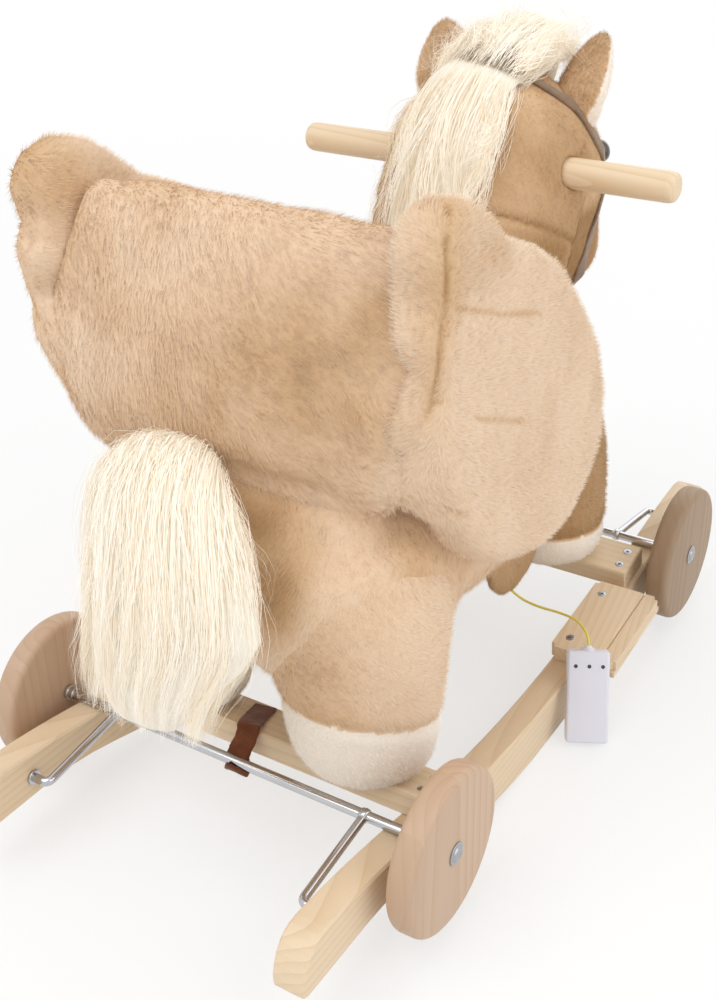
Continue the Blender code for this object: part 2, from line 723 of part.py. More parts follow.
def build_legs(torso):
    legs = {}
    x, y, r = LEG_REAR_X, LEG_REAR_Y, LEG_REAR_R
    rear = [(x, y - 0.004, 0.0780, r * 0.42, r * 0.42), (x, y - 0.004, 0.0800, r * 0.62, r * 0.60),
            (x, y - 0.004, 0.0865, r * 0.78, r * 0.73), (x, y - 0.003, 0.098, r * 0.85, r * 0.82),
            (x, y - 0.001, 0.114, r * 0.87, r * 0.88), (x, y, 0.130, r * 0.87, r * 0.90),
            (x, y, 0.140, r * 0.90, r * 0.92), (x, y, 0.168, r * 0.96, r * 0.97), (x - 0.001, y, 0.200, r, r),
            (x - 0.006, y, 0.232, r * 1.02, r * 0.98), (x - 0.018, y, 0.262, r * 0.86, r * 0.80)]
    x, y, r = LEG_FRONT_X, LEG_FRONT_Y, LEG_FRONT_R
    front = [(x, y, 0.0755, r * 0.50, r * 0.50), (x, y, 0.0775, r * 0.74, r * 0.72),
             (x, y, 0.085, r * 0.94, r * 0.90), (x, y, 0.098, r * 1.02, r * 0.98),
             (x, y, 0.114, r, r), (x, y, 0.132, r * 0.98, r), (x, y, 0.160, r * 0.97, r * 1.02),
             (x - 0.002, y + 0.004, 0.190, r * 0.98, r * 1.04), (x - 0.006, y + 0.010, 0.222, r, r),
             (x - 0.012, y + 0.014, 0.245, r * 0.85, r * 0.85)]
    cut_torso = grown(torso, FIT_GAP)
    for end, shape in (("rear", rear), ("front", front)):
        cut_bar = grown(bpy.data.objects["crossbar_" + end], FIT_GAP)
        for side, s in SIDES:
            obj = leg("leg_" + end + "_" + side, s, shape)
            combine(obj, [cut_torso, cut_bar], keep=True)
            legs[end + "_" + side] = obj
        bpy.data.objects.remove(cut_bar)
    bpy.data.objects.remove(cut_torso)
    return legs


def build_posts(torso, legs, posts, seats):
    """Square wooden posts that stand on the crossbars inside the legs and carry the torso."""
    for end, e in ENDS:
        frame = seats["bar_" + end]
        foot = (frame @ Vector((0, 0, FIT_GAP + BAR_THICK))).z
        y = (frame @ Vector((0, 0, FIT_GAP + BAR_THICK))).y
        top = REAR_POST_TOP if end == "rear" else FRONT_POST_TOP
        cut_bar = grown(bpy.data.objects["crossbar_" + end], FIT_GAP)
        bolts = {side: bpy.data.objects["leg_bolt_" + end + "_" + side] for side, s in SIDES}
        cut_bolt = {side: grown(bolt, FIT_GAP) for side, bolt in bolts.items()}
        for side, s in SIDES:
            x = s * posts[end]
            h = POST_HALF
            bm = slab(x - h, x + h, y - h, y + h, foot - 0.006, top)
            post = finish("leg_post_" + end + "_" + side, bm, MATS["pine"])
            wide = h + FIT_GAP
            hole = cutter(slab(x - wide, x + wide, y - wide, y + wide, foot - 0.03, top + FIT_GAP))
            combine(legs[end + "_" + side], [hole], keep=True)
            combine(torso, [hole])
            combine(post, [cut_bar, cut_bolt[side]], keep=True)
        for spare in [cut_bar, *cut_bolt.values()]:
            bpy.data.objects.remove(spare)


def build_seat_back(torso):
    w = BACK_HALF_WIDTH
    t = BACK_THICK
    stations = []
    shape = [(0.306, 0.214, 0.66, 0.34), (0.313, 0.214, 0.77, 0.70), (0.328, 0.213, 0.84, 0.96),
             (0.352, 0.211, 0.89, 1.06), (0.385, 0.207, 0.95, 1.06), (0.420, 0.200, 0.99, 1.0),
             (0.450, 0.191, 1.0, 0.90), (0.470, 0.184, 0.98, 0.70), (0.480, 0.180, 0.93, 0.36)]
    for z, y, half, deep in shape:
        stations.append((Vector((0, y, z)), Vector((w * half, 0, 0)), Vector((0, t / 2 * deep, 0))))
    none = Vector((0, 0, 0))
    stations = [(stations[0][0], none, none)] + stations + [(stations[-1][0], none, none)]
    obj = finish("seat_back", lofted(stations, 24, 3.0), MATS["plush"])
    cut = grown(torso, FIT_GAP)
    return combine(obj, [cut])


def build_wings(solids):
    outline_yz = [(0.190, 0.502), (0.164, 0.497), (0.141, 0.479), (0.120, 0.462), (0.085, 0.449),
                  (0.042, 0.428), (-0.004, 0.388), (-0.047, 0.340), (-0.070, 0.290), (-0.072, 0.245),
                  (-0.048, 0.220), (-0.004, 0.205), (0.045, 0.207), (0.100, 0.228), (0.145, 0.255),
                  (0.180, 0.300), (0.203, 0.345), (0.214, 0.372), (0.213, 0.402), (0.221, 0.432),
                  (0.213, 0.456), (0.219, 0.478), (0.209, 0.496)]
    cuts = [grown(obj, FIT_GAP) for obj in solids]
    wings = {}
    for side, s in SIDES:
        flat = smooth_closed([Vector((0, y, z)) for y, z in outline_yz], 1)
        lean = [Vector((s * (WING_X + WING_TOE_IN * (p.y - 0.12)), p.y, p.z)) for p in flat]
        centre = Vector((s * (WING_X + WING_TOE_IN * (0.085 - 0.12)), 0.085, 0.335))
        obj = finish("wing_" + side, puffed(lean, centre, WING_THICK), MATS["plush_pale"])
        wings[side] = combine(obj, cuts, keep=True)
    for spare in cuts:
        bpy.data.objects.remove(spare)
    return wings


def build_head(torso):
    """Neck and head in one skin, from the shoulders up over the poll and down to the muzzle."""
    line = [(-0.085, 0.262, 0.060, 0.050, 60), (-0.096, 0.285, 0.078, 0.068, 62),
            (-0.108, 0.320, 0.082, 0.074, 66), (-0.122, 0.360, 0.083, 0.074, 72),
            (-0.140, 0.398, 0.085, 0.074, 66), (-0.160, 0.430, 0.084, 0.074, 40),
            (-0.178, 0.447, 0.074, 0.062, 40), (-0.188, 0.458, 0.052, 0.042, 40)]
    stations = []
    for y, z, wide, high, lean in line:
        a = math.radians(lean)
        up = Vector((0, math.sin(a), math.cos(a)))
        stations.append((Vector((0, y, z)), Vector((wide, 0, 0)), up * high))
    none = Vector((0, 0, 0))
    stations = [(stations[0][0], none, none)] + stations
    stations.append((stations[-1][0] + Vector((0, -0.004, 0.006)), none, none))
    neck = finish("neck", lofted(stations, 20), MATS["plush_dark"])
    face = [(-0.118, 0.470, 0.030, 0.028), (-0.128, 0.462, 0.056, 0.050), (-0.148, 0.445, 0.078, 0.068),
            (-0.178, 0.420, 0.086, 0.076), (-0.208, 0.394, 0.078, 0.069), (-0.238, 0.366, 0.063, 0.057),
            (-0.262, 0.340, 0.053, 0.050), (-0.280, 0.320, 0.048, 0.046), (-0.292, 0.306, 0.038, 0.036),
            (-0.298, 0.299, 0.022, 0.020)]
    along = Vector((0, face[-1][0] - face[0][0], face[-1][1] - face[0][1])).normalized()
    up = along.cross(Vector((-1, 0, 0))).normalized()
    stations = [(Vector((0, y, z)), Vector((a, 0, 0)), up * b) for y, z, a, b in face]
    stations = ([(stations[0][0] - along * 0.006, none, none)] + stations
                + [(stations[-1][0] + along * 0.003, none, none)])
    head = finish("head", lofted(stations, 22), MATS["plush_dark"])
    combine(head, [neck], "UNION")
    cut = grown(torso, FIT_GAP)
    return combine(head, [cut])


def build_grip(torso, head):
    """Neck post in the stuffing and the dowel that runs through it and the head."""
    ends = [(GRIP_R, GRIP_HALF - 0.006), (GRIP_R * 0.95, GRIP_HALF - 0.002), (GRIP_R * 0.72, GRIP_HALF),
            (0, GRIP_HALF)]
    grip = turned([(r, -x) for r, x in reversed(ends)] + ends, 20)
    frame = along_x(0, GRIP_Y, GRIP_Z)
    finish("grip_dowel", grip, MATS["pine"], frame)
    foot = Vector((0, -0.100, 0.262))
    top = Vector((0, GRIP_Y, GRIP_Z))
    along = (top - foot).normalized()
    place = Matrix.Translation(foot) @ along.to_track_quat("Z", "Y").to_matrix().to_4x4()
    length = (top - foot).length + GRIP_R + 0.010
    w, d = NECK_POST_WIDTH / 2, NECK_POST_DEPTH / 2
    post = finish("neck_post", slab(-w, w, -d, d, 0, length), MATS["pine"], place)
    g = FIT_GAP
    hole = cutter(slab(-w - g, w + g, -d - g, d + g, -g, length + g), place)
    combine(head, [hole], keep=True)
    combine(torso, [hole])
    bore = drill(frame, GRIP_R + FIT_GAP, -0.2, 0.2, 20)
    combine(post, [bore], keep=True)
    combine(head, [bore])


def build_ears(head):
    ears = {}
    cut = grown(head, FIT_GAP)
    none = Vector((0, 0, 0))
    for side, s in SIDES:
        wide = Vector((s * 0.040, 0.010, -0.030)).normalized()
        base = Vector((s * 0.054, -0.186, 0.462))
        tip = Vector((s * 0.078, -0.210, 0.528))
        deep = (tip - base).cross(wide).normalized()
        rows = [(base, none, none)]
        for t, a, b in ((0.0, 0.022, 0.010), (0.28, 0.026, 0.011), (0.55, 0.027, 0.010), (0.78, 0.022, 0.008),
                        (0.92, 0.014, 0.006), (0.985, 0.007, 0.003)):
            rows.append((base.lerp(tip, t), wide * a, deep * b))
        rows.append((tip, none, none))
        obj = finish("ear_" + side, lofted(rows, 12), MATS["plush_dark"])
        ears[side] = combine(obj, [cut], keep=True)
    bpy.data.objects.remove(cut)
    return ears


def build_bridle(head, ears):
    """Suede band round the head, in a plane that leans forward over the brow."""
    outer = grown(head, FIT_GAP + BAND_THICK)
    inner = grown(head, FIT_GAP)
    centre = Matrix.Translation((0, -0.2007, 0.420)) @ Matrix.Rotation(math.radians(-27), 4, "X")
    half = BAND_WIDTH / 2
    band = finish("bridle", slab(-0.2, 0.2, -half, half, -0.2, 0.2), MATS["suede"], centre)
    outer.modifiers.clear()
    combine(band, [outer], "INTERSECT")
    combine(band, [inner])
    cuts = [grown(ear, FIT_GAP) for ear in ears.values()]
    return combine(band, cuts)


def build_eyes(head):
    cut = grown(head, FIT_GAP)
    for side, s in SIDES:
        bm = turned([(0, -EYE_R)] + [(EYE_R * math.sin(math.radians(a)), -EYE_R * math.cos(math.radians(a)))
                                     for a in (36, 72, 108, 144)] + [(0, EYE_R)], 12)
        place = Matrix.Translation((s * 0.063, -0.232, 0.425))
        eye = finish("eye_" + side, bm, MATS["eye"], place)
        combine(eye, [cut], keep=True)
    bpy.data.objects.remove(cut)


def build_mane(head, ears, band, torso):
    """Hair from the forelock over the poll and down the back of the neck."""
    path = [(-0.004, -0.246, 0.470), (-0.006, -0.228, 0.498), (-0.006, -0.200, 0.512),
            (0.000, -0.164, 0.504), (0.006, -0.132, 0.486), (0.012, -0.104, 0.458),
            (0.016, -0.084, 0.418), (0.018, -0.068, 0.378), (0.018, -0.056, 0.345)]
    sizes = [(0.012, 0.006), (0.024, 0.013), (0.033, 0.018), (0.036, 0.019), (0.041, 0.021),
             (0.044, 0.022), (0.043, 0.021), (0.036, 0.017), (0.020, 0.010)]
    obj = finish("mane", lofted(lock(path, sizes), 14), MATS["hair"])
    near = [head, *ears.values(), band, bpy.data.objects["grip_dowel"], torso]
    return combine(obj, [grown(solid, FIT_GAP) for solid in near])


def lock(path, sizes):
    """Loft stations for a flat bunch of hair along a path."""
    line = [Vector(p) for p in path]
    none = Vector((0, 0, 0))
    rows = []
    for i, (p, (wide, high)) in enumerate(zip(line, sizes)):
        along = (line[min(i + 1, len(line) - 1)] - line[max(i - 1, 0)]).normalized()
        out = Vector((1, 0, 0)).cross(along).normalized()
        rows.append((p, Vector((wide, 0, 0)), out * high))
    return [(line[0], none, none)] + rows + [(line[-1], none, none)]


def build_tail(torso, back):
    """Hair from the top of the rump, hanging clear of the rear rod's path."""
    path = [(0.004, 0.236, 0.318), (0.000, 0.258, 0.334), (-0.008, 0.278, 0.330),
            (-0.016, 0.291, 0.304), (-0.022, 0.297, 0.270), (-0.024, 0.300, 0.230),
            (-0.018, 0.301, 0.190), (-0.008, 0.300, 0.158)]
    sizes = [(0.026, 0.012), (0.036, 0.018), (0.048, 0.022), (0.060, 0.024),
             (0.066, 0.025), (0.066, 0.024), (0.056, 0.020), (0.034, 0.011)]
    obj = finish("tail", lofted(lock(path, sizes), 14), MATS["hair"])
    return combine(obj, [grown(torso, FIT_GAP), grown(back, FIT_GAP)])


def build_strap(axle):
    """Suede strap that lies on the rear crossbar and hooks under the rod."""
    bar = seat(BAR_Y, BAR_DEPTH / 2 + 0.001)
    edge = BAR_DEPTH / 2
    top = FIT_GAP + BAR_THICK + FIT_GAP + STRAP_THICK / 2
    a = bar @ Vector((0.014, edge - 0.034, top + 0.0001))
    b = bar @ Vector((0.010, edge - 0.014, top + 0.0001))
    c = bar @ Vector((0.006, edge - 0.0008, top + 0.0005))
    r = AXLE_R + SLIDE_GAP * 2 + STRAP_THICK / 2
    hook = []
    for k in range(11):
        turn = math.radians(190 + 16 * k)
        hook.append(Vector((0.002 - 0.0008 * k, axle.y + r * math.cos(turn), axle.z + r * math.sin(turn))))
    step = bar @ Vector((0.004, edge + STRAP_THICK / 2 + 0.0022, top - 0.0030))
    line = smooth_open([a, b, c, step, hook[0]], 3)[:-1] + hook
    half = STRAP_WIDTH / 2
    t = STRAP_THICK / 2
    section = [(-half, -t), (half, -t), (half, t), (-half, t)]
    bm = bmesh.new()
    rows = []
    for i, p in enumerate(line):
        along = (line[min(i + 1, len(line) - 1)] - line[max(i - 1, 0)]).normalized()
        side = Vector((1, 0, 0))
        side = (side - along * side.dot(along)).normalized()
        over = side.cross(along).normalized()
        rows.append([bm.verts.new(p + side * u + over * v) for u, v in section])
    for low, high in zip(rows, rows[1:]):
        for k in range(4):
            n = (k + 1) % 4
            bm.faces.new((low[k], low[n], high[n], high[k]))
    bm.faces.new(rows[0])
    bm.faces.new(rows[-1])
    obj = finish("strap", bm, MATS["suede"])
    near = [bpy.data.objects[name] for name in ("crossbar_rear", "leg_rear_left", "leg_rear_right")]
    clear_r = (AXLE_R + SLIDE_GAP) / math.cos(math.pi / 16)
    rod = drill(along_x(0, axle.y, axle.z), clear_r, -0.05, 0.05, 16)
    return combine(obj, [rod, *(grown(solid, FIT_GAP) for solid in near)])


def build_sound_box(seats):
    """Box that stands on the ground and leans back on the right footrest's rear top edge."""
    yaw, lean = math.radians(BOX_YAW), math.radians(BOX_LEAN)
    wide = Vector((-math.cos(yaw), -math.sin(yaw), 0))
    flat = Vector((-math.sin(yaw), math.cos(yaw), 0))
    up = Vector((0, 0, 1))
    face = flat * math.cos(lean) + up * math.sin(lean)
    along = up * math.cos(lean) - flat * math.sin(lean)
    half = BOX_WIDTH / 2
    edge = seats["foot"] @ Vector((0, FOOT_LENGTH / 2, FIT_GAP + FOOT_THICK))
    touch = wide * half + along * (edge.z / along.z)
    eased = BOX_EASE * (math.cos(yaw) + math.sin(yaw) - 1)
    inward = half * math.cos(yaw) + ROCKER_MID_DEPTH * math.sin(yaw) * math.tan(lean)
    foot = Vector((-ROCKER_OUTER_X - FIT_GAP - inward, edge.y + FIT_GAP - touch.y - eased, 0))
    place = Matrix((wide, face, along)).transposed().to_4x4()
    place.translation = foot
    bm = slab(-half, half, 0, BOX_THICK, 0, BOX_LENGTH)
    bmesh.ops.bevel(bm, geom=bm.edges[:], offset=BOX_EASE, segments=2, affect="EDGES")
    box = finish("sound_box", bm, MATS["box"], place)
    top = BOX_LENGTH + BOX_NECK
    bm = slab(-0.006, 0.006, 0.004, BOX_THICK - 0.004, BOX_LENGTH - 0.003, top, 0.0008)
    combine(box, [cutter(bm, place)], "UNION")
    return place @ Vector((0, BOX_THICK / 2, top)), along


def build_cable(exit_point, direction):
    """Thin cable from under the belly, over the footrest board, to the sound box."""
    turn_in = exit_point + direction * 0.0085 + Vector((0.0045, -0.0035, 0))
    route = [*(Vector(p) for p in CABLE_ROUTE), turn_in, exit_point + direction * 0.004]
    line = smooth_open([*route, exit_point + direction * FIT_GAP], 8)
    spaced = [line[0]]
    for p in line[1:]:
        if (p - spaced[-1]).length > CABLE_D * 2:
            spaced.append(p)
    spaced[-1] = line[-1]
    curve = bpy.data.curves.new("sound_cable", "CURVE")
    curve.dimensions = "3D"
    curve.bevel_depth = CABLE_D / 2
    curve.bevel_resolution = 2
    curve.use_fill_caps = True
    spline = curve.splines.new("POLY")
    spline.points.add(len(spaced) - 1)
    for point, p in zip(spline.points, spaced):
        point.co = (*p, 1.0)
    curve.materials.append(MATS["cable"])
    obj = bpy.data.objects.new("sound_cable", curve)
    bpy.context.scene.collection.objects.link(obj)


def build_belly_flap(torso):
    """Plush lip of the belly pocket, where the cable comes out."""
    outline_yz = [(-0.118, 0.130), (-0.110, 0.110), (-0.092, 0.096), (-0.0675, 0.089), (-0.046, 0.094),
                  (-0.028, 0.109), (-0.020, 0.130), (-0.040, 0.157), (-0.070, 0.162), (-0.100, 0.157)]
    flat = [Vector((FLAP_X, y, z)) for y, z in outline_yz]
    obj = finish("belly_flap", puffed(flat, Vector((FLAP_X, -0.070, 0.116)), FLAP_THICK), MATS["plush"])
    return combine(obj, [grown(torso, FIT_GAP)])


def build():
    clear_scene()
    MATS.update({
        "pine": material("pine", (0.78, 0.60, 0.37), 0.55),
        "chrome": material("chrome", (0.60, 0.60, 0.62), 0.18, 1.0),
        "steel": material("steel", (0.48, 0.48, 0.50), 0.32, 1.0),
        "plush": material("plush", (0.66, 0.45, 0.27), 0.95),
        "plush_pale": material("plush_pale", (0.76, 0.57, 0.39), 0.95),
        "plush_dark": material("plush_dark", (0.55, 0.35, 0.19), 0.95),
        "hair": material("hair", (0.85, 0.78, 0.65), 0.85),
        "suede": material("suede", (0.13, 0.045, 0.02), 0.92),
        "eye": material("eye", (0.02, 0.015, 0.012), 0.12),
        "box": material("box", (0.72, 0.72, 0.80), 0.40),
        "cable": material("cable", (0.70, 0.55, 0.08), 0.45),
    })
    seats = {"foot": seat(FOOT_Y, FOOT_LENGTH / 2)}
    for end, e in ENDS:
        seats["bar_" + end] = seat(e * BAR_Y, BAR_DEPTH / 2 + 0.001)
        seats["axle_" + end] = seat(e * AXLE_Y, AXLE_REST_HALF)
    posts = {"rear": LEG_REAR_X, "front": LEG_FRONT_X}
    build_rockers(seats)
    build_crossbars(seats, posts)
    build_footrests(seats)
    axles = build_wheel_frames(seats)
    torso = build_torso()
    legs = build_legs(torso)
    build_posts(torso, legs, posts, seats)
    back = build_seat_back(torso)
    build_wings([torso, back, *legs.values()])
    head = build_head(torso)
    build_grip(torso, head)
    ears = build_ears(head)
    band = build_bridle(head, ears)
    build_eyes(head)
    build_mane(head, ears, band, torso)
    build_tail(torso, back)
    build_strap(axles["rear"])
    tip, direction = build_sound_box(seats)
    build_belly_flap(torso)
    build_cable(tip, direction)


MATS = {}
build()
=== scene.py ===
"""Dresses the ride-on plush horse: plush and hair, pine, steel, suede, sound box and studio."""

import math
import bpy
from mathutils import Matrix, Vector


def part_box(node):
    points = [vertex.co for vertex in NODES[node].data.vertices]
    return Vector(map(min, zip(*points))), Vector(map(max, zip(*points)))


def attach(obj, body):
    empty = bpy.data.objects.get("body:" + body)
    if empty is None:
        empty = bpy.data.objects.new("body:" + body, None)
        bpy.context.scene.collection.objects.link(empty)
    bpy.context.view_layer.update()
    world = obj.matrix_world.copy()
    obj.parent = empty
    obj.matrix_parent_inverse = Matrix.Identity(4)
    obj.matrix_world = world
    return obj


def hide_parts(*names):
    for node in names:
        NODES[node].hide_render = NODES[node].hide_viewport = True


bl_info = {
    "name": "Ride-on plush horse",
    "version": (1, 0, 0),
    "blender": (4, 5, 0),
    "location": "3D View > Sidebar > Plush horse",
    "description": "Builds the looks of a ride-on plush horse round its CAD frame",
    "category": "Object",
}

import bmesh
import bpy
import numpy as np
from bpy.props import FloatProperty, FloatVectorProperty, IntProperty, PointerProperty
from mathutils import Matrix, Vector
from mathutils.bvhtree import BVHTree

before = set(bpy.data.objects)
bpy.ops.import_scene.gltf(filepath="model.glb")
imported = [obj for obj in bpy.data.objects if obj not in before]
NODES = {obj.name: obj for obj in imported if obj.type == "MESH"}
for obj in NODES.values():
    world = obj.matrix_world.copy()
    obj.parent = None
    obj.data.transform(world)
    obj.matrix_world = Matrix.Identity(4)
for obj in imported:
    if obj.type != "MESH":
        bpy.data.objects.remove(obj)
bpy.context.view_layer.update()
ROOT = "base"
SIDES = (("left", 1), ("right", -1))
ENDS = (("rear", 1), ("front", -1))

PILE_MAP = "OFBake"
TONES = 64
HALF_COLUMN = 0.35 / TONES
CREAM = 0.90
TINY = 1e-12
FAR = 9.0
MERGE_GAP = 0.00001


class Sock:
    """A node socket that adds Math nodes when Python operators are used on it."""

    def __init__(self, shade, out):
        self.shade = shade
        self.out = out

    def math(self, operation, *others):
        return self.shade.add("ShaderNodeMath", {"operation": operation}, self, *others)

    def __add__(self, other):
        return self.math("ADD", other)

    def __sub__(self, other):
        return self.math("SUBTRACT", other)

    def __mul__(self, other):
        return self.math("MULTIPLY", other)

    def __truediv__(self, other):
        return self.math("DIVIDE", other)

    def __pow__(self, other):
        return self.math("POWER", other)

    def __rsub__(self, other):
        return self.shade.add("ShaderNodeMath", {"operation": "SUBTRACT"}, other, self)

    __radd__ = __add__
    __rmul__ = __mul__


class Shade:
    """One material's node tree."""

    def __init__(self, name, **sockets):
        self.mat = bpy.data.materials.new(name)
        self.mat.use_nodes = True
        self.tree = self.mat.node_tree
        self.shader = self.tree.nodes["Principled BSDF"]
        self.set(**sockets)

    def add(self, kind, settings=None, *values, out=0, **named):
        node = self.tree.nodes.new(kind)
        for key, value in (settings or {}).items():
            if key == "stops":
                fill_ramp(node.color_ramp, value)
            else:
                setattr(node, key, value)
        for index, value in enumerate(values):
            self.put(node.inputs[index], value)
        for key, value in named.items():
            self.put(node.inputs[key.replace("_", " ")], value)
        return Sock(self, node.outputs[out])

    def put(self, socket, value):
        if isinstance(value, Sock):
            self.tree.links.new(value.out, socket)
        elif socket.type == "RGBA":
            socket.default_value = rgba(value)
        else:
            socket.default_value = value

    def set(self, **named):
        for key, value in named.items():
            self.put(self.shader.inputs[key.replace("_", " ")], value)

    def place(self, scale=(1, 1, 1), location=(0, 0, 0), rotation=(0, 0, 0)):
        """Object coordinates, moved, turned and stretched."""
        where = self.add("ShaderNodeTexCoord", out=3)
        return self.add("ShaderNodeMapping", None, where, location, rotation, scale)

    def noise(self, where, scale, detail=3.0, roughness=0.55):
        return self.add("ShaderNodeTexNoise", None, where, Scale=scale, Detail=detail, Roughness=roughness)

    def ramp(self, value, *stops):
        return self.add("ShaderNodeValToRGB", {"stops": stops}, value)

    def mix(self, share, a, b, blend="MIX"):
        node = self.tree.nodes.new("ShaderNodeMix")
        node.data_type = "RGBA"
        node.blend_type = blend
        node.clamp_factor = True
        self.put(node.inputs[0], share)
        self.put(node.inputs[6], a)
        self.put(node.inputs[7], b)
        return Sock(self, node.outputs[2])

    def bump(self, height, strength, distance):
        normal = self.add("ShaderNodeBump", None, strength, distance, Height=height)
        self.set(Normal=normal)

    def split(self, vector):
        node = self.tree.nodes.new("ShaderNodeSeparateXYZ")
        self.put(node.inputs[0], vector)
        return [Sock(self, out) for out in node.outputs]


def fill_ramp(ramp, stops):
    """Gives a colour ramp its stops, each a place and a colour."""
    while len(ramp.elements) > 1:
        ramp.elements.remove(ramp.elements[-1])
    ramp.elements[0].position = stops[0][0]
    ramp.elements[0].color = rgba(stops[0][1])
    for position, color in stops[1:]:
        ramp.elements.new(position).color = rgba(color)


def rgba(color):
    return (*color[:3], 1.0)


def toned(color, factor):
    return tuple(min(1.0, c * factor) for c in color[:3])


def pine(name, color, grain, centre, spread=0.0045, late=0.30, staves=0.0):
    """Pine with growth rings along one axis, round a pith beside the piece, and glued staves if any."""
    shade = Shade(name, Roughness=0.5, Specular_IOR_Level=0.35)
    stretch = [1.0, 1.0, 1.0]
    stretch[grain] = 0.05
    long_way = shade.place(tuple(stretch))
    warp = shade.noise(long_way, 9.0, 2.0) - 0.5
    across = [a for a in range(3) if a != grain]
    parts = shade.split(shade.place(location=tuple(-c for c in centre)))
    tilt = parts[grain] * 0.035
    u = parts[across[0]] + warp * 0.020 + tilt
    v = parts[across[1]] + warp * 0.012
    pick = 0.0
    if staves:
        pick = ((v / staves + 0.35).math("FLOOR") * 0.37 + 0.61).math("FRACT")
        u = u + pick * 0.031
    radius = (u * u + v * v) ** 0.5
    wave = (radius / spread).math("FRACT")
    line = wave ** 2.6
    fade = shade.noise(long_way, 30.0, 3.0)
    fibre_scale = [900.0, 900.0, 900.0]
    fibre_scale[grain] = 22.0
    fibre = shade.noise(shade.place(tuple(fibre_scale)), 1.0, 2.0)
    cloud = shade.noise(long_way, 14.0, 3.0)
    pale = toned(color, 1.05)
    deep = (color[0] * 0.83, color[1] * 0.70, color[2] * 0.52)
    base = shade.mix((cloud - 0.35) * 0.9, pale, (color[0] * 0.95, color[1] * 0.88, color[2] * 0.78))
    ringed = shade.mix(line * (fade * 1.3) * late * 2.0, base, deep)
    if staves:
        ringed = shade.mix(pick * 0.55, ringed, (color[0] * 0.80, color[1] * 0.74, color[2] * 0.68))
    final = shade.mix((fibre - 0.5) * 0.35, ringed, toned(color, 0.62))
    shade.set(Base_Color=final, Roughness=0.40 + line * 0.12 + fibre * 0.12)
    shade.bump(fibre * 0.6 + line * 0.5, 0.10, 0.0006)
    return shade.mat


def steel(name, color, rough, streak=0):
    """Plated steel, with fine drawn streaks along one axis and a few duller smears."""
    shade = Shade(name, Metallic=1.0, Specular_IOR_Level=0.5)
    scale = [500.0, 500.0, 500.0]
    scale[streak] = 8.0
    drawn = shade.noise(shade.place(tuple(scale)), 1.0, 2.0)
    smear = shade.noise(shade.place(), 35.0, 3.0)
    tint = shade.mix((smear - 0.40) * 1.2, color, toned(color, 0.72))
    shade.set(Base_Color=tint, Roughness=rough + drawn * 0.07 + (smear - 0.45) * 0.10)
    shade.bump(drawn, 0.05, 0.0002)
    return shade.mat


def plush_ramp(shade, value, looks):
    """The plush's colours from the deepest brown to the palest, then the cream of hooves and linings."""
    light, cream = looks.plush_light, looks.plush_cream
    return shade.ramp(value, (0.0, looks.plush_dark), (0.36, looks.plush_mid), (0.72, light), (0.80, light),
                      (0.86, cream), (1.0, cream))


def plush_skin(name, looks):
    """The backing between the hairs: the tone is an attribute on the mesh."""
    shade = Shade(name, Roughness=0.95, Specular_IOR_Level=0.1)
    tone = shade.add("ShaderNodeAttribute", {"attribute_name": "tone"}, out=2)
    color = plush_ramp(shade, tone, looks)
    tuft = shade.noise(shade.place(), 520.0, 3.0)
    clump = shade.noise(shade.place(), 170.0, 2.0)
    lit = shade.mix(0.9, color, (0.93, 0.86, 0.78), "MULTIPLY")
    shaded = shade.mix(0.9, color, (0.84, 0.72, 0.60), "MULTIPLY")
    shade.set(Base_Color=shade.mix((tuft - 0.40) * 1.8, lit, shaded))
    shade.bump(tuft + clump * 0.8, 0.35, 0.0015)
    return shade.mat


def plush_pile(name, looks):
    """The hairs: U on the map holds a hair's tone and V runs from its root to its tip; along V each hair
    darkens with painted shade at its root and pales with painted light at its tip.
    """
    shade = Shade(name, Roughness=0.9, Specular_IOR_Level=0.08)
    parts = shade.split(shade.add("ShaderNodeUVMap", {"uv_map": PILE_MAP}))
    color = plush_ramp(shade, parts[0], looks)
    # Painted shade at the root of each hair, painted light at its tip.
    root = shade.mix(0.55, color, (0.84, 0.74, 0.62), "MULTIPLY")
    lit = shade.mix(parts[1] ** 0.5, root, color)
    shade.set(Base_Color=shade.mix((parts[1] - 0.45) * 0.40, lit, (1.0, 0.94, 0.86)))
    return shade.mat


def long_hair(name, looks):
    """Mane and tail: U holds a strand's tone and V runs along it. The glow is painted light, standing in for
    the light passed on in the hair.
    """
    shade = Shade(name, Roughness=0.5, Specular_IOR_Level=0.25, Emission_Strength=0.10)
    parts = shade.split(shade.add("ShaderNodeUVMap", {"uv_map": PILE_MAP}))
    pale = toned(looks.hair, 1.0)
    color = shade.ramp(parts[0], (0.0, (0.70, 0.57, 0.40)), (0.25, (0.90, 0.79, 0.62)), (0.55, pale),
                       (1.0, (1.0, 0.97, 0.92)))
    color = shade.mix((0.25 - parts[1]) * 0.7, color, (0.95, 0.85, 0.68))
    # Painted light: the hair glows a little in its own colour.
    shade.set(Base_Color=color, Emission_Color=color)
    return shade.mat


